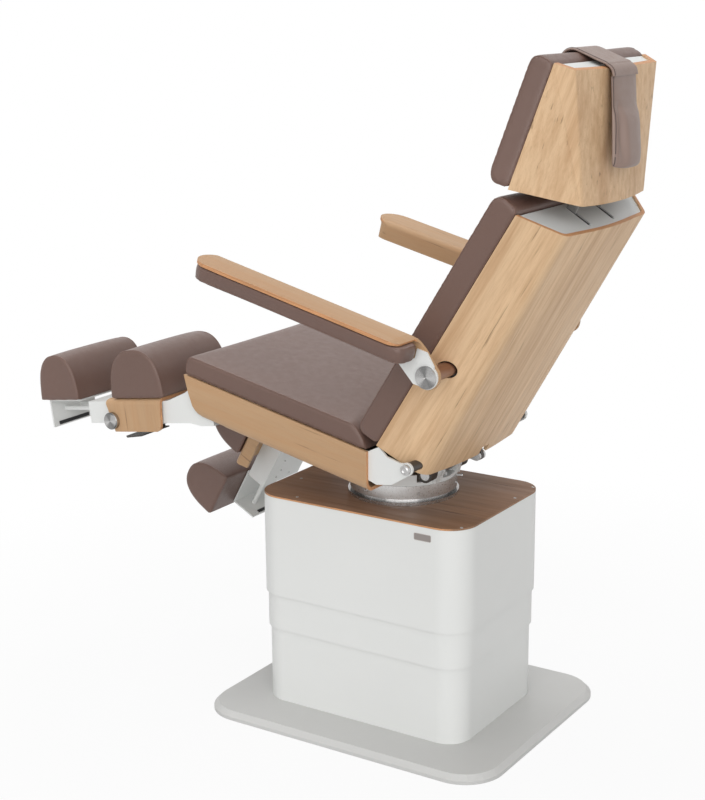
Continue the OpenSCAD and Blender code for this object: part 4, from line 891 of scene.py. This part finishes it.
class PODIATRY_OT_head_cushion(bpy.types.Operator):
    """Headrest cushion with piped sides, and the neck cushion in front of it"""

    bl_idname = "podiatry.head_cushion"
    bl_label = "Headrest Cushions"

    def execute(self, context):
        s = context.scene.podiatry_sizes
        panel_y, cushion_y = -0.004, -0.068
        piece = cushion("head_cushion", "head", lambda p: p.y > panel_y or abs(p.x) > HALF_W - s.flat_end,
                        s.voxel, s.swell * 0.7, HEAD, head_taper)
        end, slant = HALF_W - s.piping_in, 0.2116
        cuts = [(HEAD @ Vector((x * end, 0, 0)), HEAD.to_3x3() @ Vector((x, 0, slant))) for x in (-1, 1)]
        piping("head-piping", piece, cuts, s.piping, "head")
        neck = cushion("neck_cushion", "head",
                       lambda p: p.y > cushion_y or abs(p.x) > NECK_HALF_W - s.flat_end * 0.5,
                       s.voxel * 0.8, s.swell * 0.7, HEAD, head_turn)
        piping("neck-piping", neck, side_planes(NECK_HALF_W - 0.005), s.piping, "head")
        return {"FINISHED"}


class PODIATRY_OT_head_strap(bpy.types.Operator):
    """Strap over the headrest, with its padded pocket, dark edges and stitching"""

    bl_idname = "podiatry.head_strap"
    bl_label = "Headrest Strap"

    def execute(self, context):
        s = context.scene.podiatry_sizes
        name = "head_strap-leather"
        fine_voxel, rounds = 0.0022, 10
        shape = soft_edged(even(copy_of("head_strap", name + "-cut"), name + "-even", fine_voxel), rounds)
        shape = moved(shape, HEAD, strap_lie)
        piece = link(name, shape, bpy.data.materials["leather-strap"], "head")
        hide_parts("head_strap")
        inverse = HEAD.inverted()
        slant = HEAD.to_3x3() @ Vector((1, 0, 0.040 / HEAD_H))
        left, right = STRAP_ENDS
        edges = [(HEAD @ Vector((x, 0, 0)), slant) for x in (left, right)]
        piping("strap-edges", piece, edges, 0.0012, "head", bpy.data.materials["leather-dark"],
               keep=lambda p: (inverse @ p).z > 0.06)
        seam_in = 0.005
        rows = [(HEAD @ Vector((x, 0, 0)), slant) for x in (left + seam_in, right - seam_in)]
        stitches("strap-stitches", piece, rows, s.stitch, "head", lambda p: (inverse @ p).y > 0.0)
        low = min((inverse @ v.co).z for v in piece.data.vertices)
        hem = (HEAD @ Vector((0, 0, low + 0.006)), HEAD.to_3x3() @ Z_AXIS)
        piping("strap-hem", piece, [hem], 0.0011, "head", bpy.data.materials["leather-edge"], lift=0.3)
        return {"FINISHED"}


class PODIATRY_OT_leg_rolls(bpy.types.Operator):
    """Calf and heel rolls with piped ends"""

    bl_idname = "podiatry.leg_rolls"
    bl_label = "Leg Rolls"

    def execute(self, context):
        s = context.scene.podiatry_sizes
        middle, half_w, held_h = (LEG_IN + HALF_W) / 2, (HALF_W - LEG_IN) / 2, 0.004
        for side in ("left", "right"):
            ends = [SIGN[side] * x for x in (LEG_IN + s.piping_in, HALF_W - s.piping_in)]
            for part, body, base in (("calf", "leg", -0.0195), ("heel", "heel", -0.0225)):
                piece = cushion(f"{side}_{part}_roll", f"{side}_{body}",
                                lambda p, base=base: (p.z < base + held_h
                                                      or abs(abs(p.x) - middle) > half_w - s.flat_end),
                                s.voxel * 0.85, s.roll_swell, LEG[side])
                piping(f"{side}_{part}-piping", piece, [((x, 0, 0), X_AXIS) for x in ends], s.piping,
                       f"{side}_{body}")
        return {"FINISHED"}


class PODIATRY_OT_arm_pads(bpy.types.Operator):
    """Leather pads under the armrests' boards"""

    bl_idname = "podiatry.arm_pads"
    bl_label = "Arm Pads"

    def execute(self, context):
        s = context.scene.podiatry_sizes
        board_z, seam_z = 0.0655, 0.034
        for side in ("left", "right"):
            piece = cushion(side + "_arm_pad", side + "_arm", lambda p: p.z > board_z, s.voxel * 0.8,
                            s.roll_swell * 0.5, ARM)
            level = (ARM @ Vector((0, 0, seam_z)), ARM.to_3x3() @ Z_AXIS)
            piping(side + "_arm_pad-piping", piece, [level], s.piping * 0.8, side + "_arm")
        return {"FINISHED"}


class PODIATRY_OT_fasteners(bpy.types.Operator):
    """Screws of the board, the turntable and the leg rests, and the hinges' sockets"""

    bl_idname = "podiatry.fasteners"
    bl_label = "Fasteners"

    def execute(self, context):
        s = context.scene.podiatry_sizes
        board_z, band_z, socket_z, leg_plate_z = 0.555, 0.5825, 0.7048, -0.084
        board = [(Vector((x, y, board_z)), Z_AXIS)
                 for x, y in ((-0.078, 0.264), (-0.176, 0.262), (0.178, 0.262), (0.187, -0.185),
                              (-0.187, -0.185), (0.06, -0.262), (-0.06, -0.262))]
        disc_r, bolt_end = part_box("turntable_disc")[1][0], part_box("hinge_bolts")[1][0]
        angles = [math.radians(47.6 + 60 * k) for k in range(6)]
        outward = [Vector((math.cos(a), math.sin(a), 0)) for a in angles]
        band = [(Vector((0, 0, band_z)) + out * disc_r, out) for out in outward]
        hinges = [(Vector((x * bolt_end, BACK_PIVOT[0], socket_z)), X_AXIS * x) for x in (-1, 1)]
        groups = [("board-screws", "lift_head", s.screw * 0.9, 0.0012, board),
                  ("turntable-screws", "swivel", s.screw * 0.9, 0.0016, band),
                  ("hinge-sockets", "seat", s.screw * 2.1, 0.002, hinges)]
        for side in ("left", "right"):
            down = (LEG[side].to_3x3() @ -Z_AXIS).normalized()
            plate = [(LEG[side] @ Vector((SIGN[side] * x, y, leg_plate_z)), down)
                     for x, y in ((0.1627, -0.2982), (0.1654, -0.3307), (0.1564, -0.3524),
                                  (0.2187, -0.3553), (0.2187, -0.2982))]
            groups.append((side + "_leg-screws", side + "_leg", s.screw * 0.8, 0.0014, plate))
        for name, body, radius, height, places in groups:
            bm = bmesh.new()
            for at, normal in places:
                screw(bm, at, normal, radius, height)
            bmesh.ops.recalc_face_normals(bm, faces=bm.faces)
            link(name, mesh_of(bm, name), bpy.data.materials["steel"], body, smooth=False)
        return {"FINISHED"}


class PODIATRY_OT_trim(bpy.types.Operator):
    """Bare nameplate on the cover, and rubber strips on the heel slides"""

    bl_idname = "podiatry.trim"
    bl_label = "Trim"

    def execute(self, context):
        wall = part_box("outer_cover")[1][0]
        plate_y, plate_z, thick = 0.1784, 0.5262, 0.0012
        bm = bmesh.new()
        block(bm, WORLD, (wall + thick / 2, plate_y, plate_z), (thick, 0.045, 0.0165))
        corners = [e for e in bm.edges if abs((e.verts[0].co - e.verts[1].co).normalized().x) > 0.9]
        bmesh.ops.bevel(bm, geom=corners, offset=0.003, segments=5, profile=0.5, affect="EDGES", material=-1)
        front = max(bm.faces, key=lambda f: f.calc_center_median().x)
        bmesh.ops.inset_region(bm, faces=[front], thickness=0.0011)
        bmesh.ops.translate(bm, verts=front.verts[:], vec=(-0.0003, 0, 0))
        plate = link("nameplate", mesh_of(bm, "nameplate"), bpy.data.materials["nameplate"], "lift_head",
                     smooth=False)
        plate.data.materials.append(bpy.data.materials["nameplate-rim"])
        field = max((f for f in plate.data.polygons if f.normal.x > 0.9), key=lambda f: f.area)
        for polygon in plate.data.polygons:
            polygon.material_index = 0 if polygon == field else 1
        for side in ("left", "right"):
            inverse = LEG[side].inverted()
            end = min((inverse @ v.co).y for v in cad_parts[side + "_heel_slide"].data.vertices)
            bm = bmesh.new()
            block(bm, LEG[side], (SIGN[side] * 0.197, end + 0.0052, -0.088), (0.11, 0.0024, 0.009))
            bmesh.ops.bevel(bm, geom=bm.edges[:], offset=0.0007, segments=2, profile=0.5, affect="EDGES",
                            material=-1)
            name = side + "_heel-strip"
            link(name, mesh_of(bm, name), bpy.data.materials["rubber"], side + "_heel")
        return {"FINISHED"}


STEPS = ("studio", "finishes", "shells", "seat_cushion", "back_cushion", "head_cushion", "head_strap",
         "leg_rolls", "arm_pads", "fasteners", "trim")


class PODIATRY_PT_panel(bpy.types.Panel):
    """Steps, sizes and colours of the podiatry chair's looks"""

    bl_label = "Podiatry Chair"
    bl_idname = "PODIATRY_PT_panel"
    bl_space_type = "VIEW_3D"
    bl_region_type = "UI"
    bl_category = "Podiatry Chair"

    def draw(self, context):
        for step in STEPS:
            self.layout.operator("podiatry." + step)
        for group in (context.scene.podiatry_sizes, context.scene.podiatry_colours):
            for key in group.__annotations__:
                self.layout.prop(group, key)


CLASSES = (ChairSizes, ChairColours, PODIATRY_OT_studio, PODIATRY_OT_finishes, PODIATRY_OT_shells,
           PODIATRY_OT_seat_cushion, PODIATRY_OT_back_cushion, PODIATRY_OT_head_cushion,
           PODIATRY_OT_head_strap, PODIATRY_OT_leg_rolls, PODIATRY_OT_arm_pads, PODIATRY_OT_fasteners,
           PODIATRY_OT_trim, PODIATRY_PT_panel)


def register():
    for cls in CLASSES:
        bpy.utils.register_class(cls)
    bpy.types.Scene.podiatry_sizes = bpy.props.PointerProperty(type=ChairSizes)
    bpy.types.Scene.podiatry_colours = bpy.props.PointerProperty(type=ChairColours)


def unregister():
    del bpy.types.Scene.podiatry_colours
    del bpy.types.Scene.podiatry_sizes
    for cls in reversed(CLASSES):
        bpy.utils.unregister_class(cls)


def main():
    register()
    for step in STEPS:
        getattr(bpy.ops.podiatry, step)()


if __name__ == "__main__":
    main()
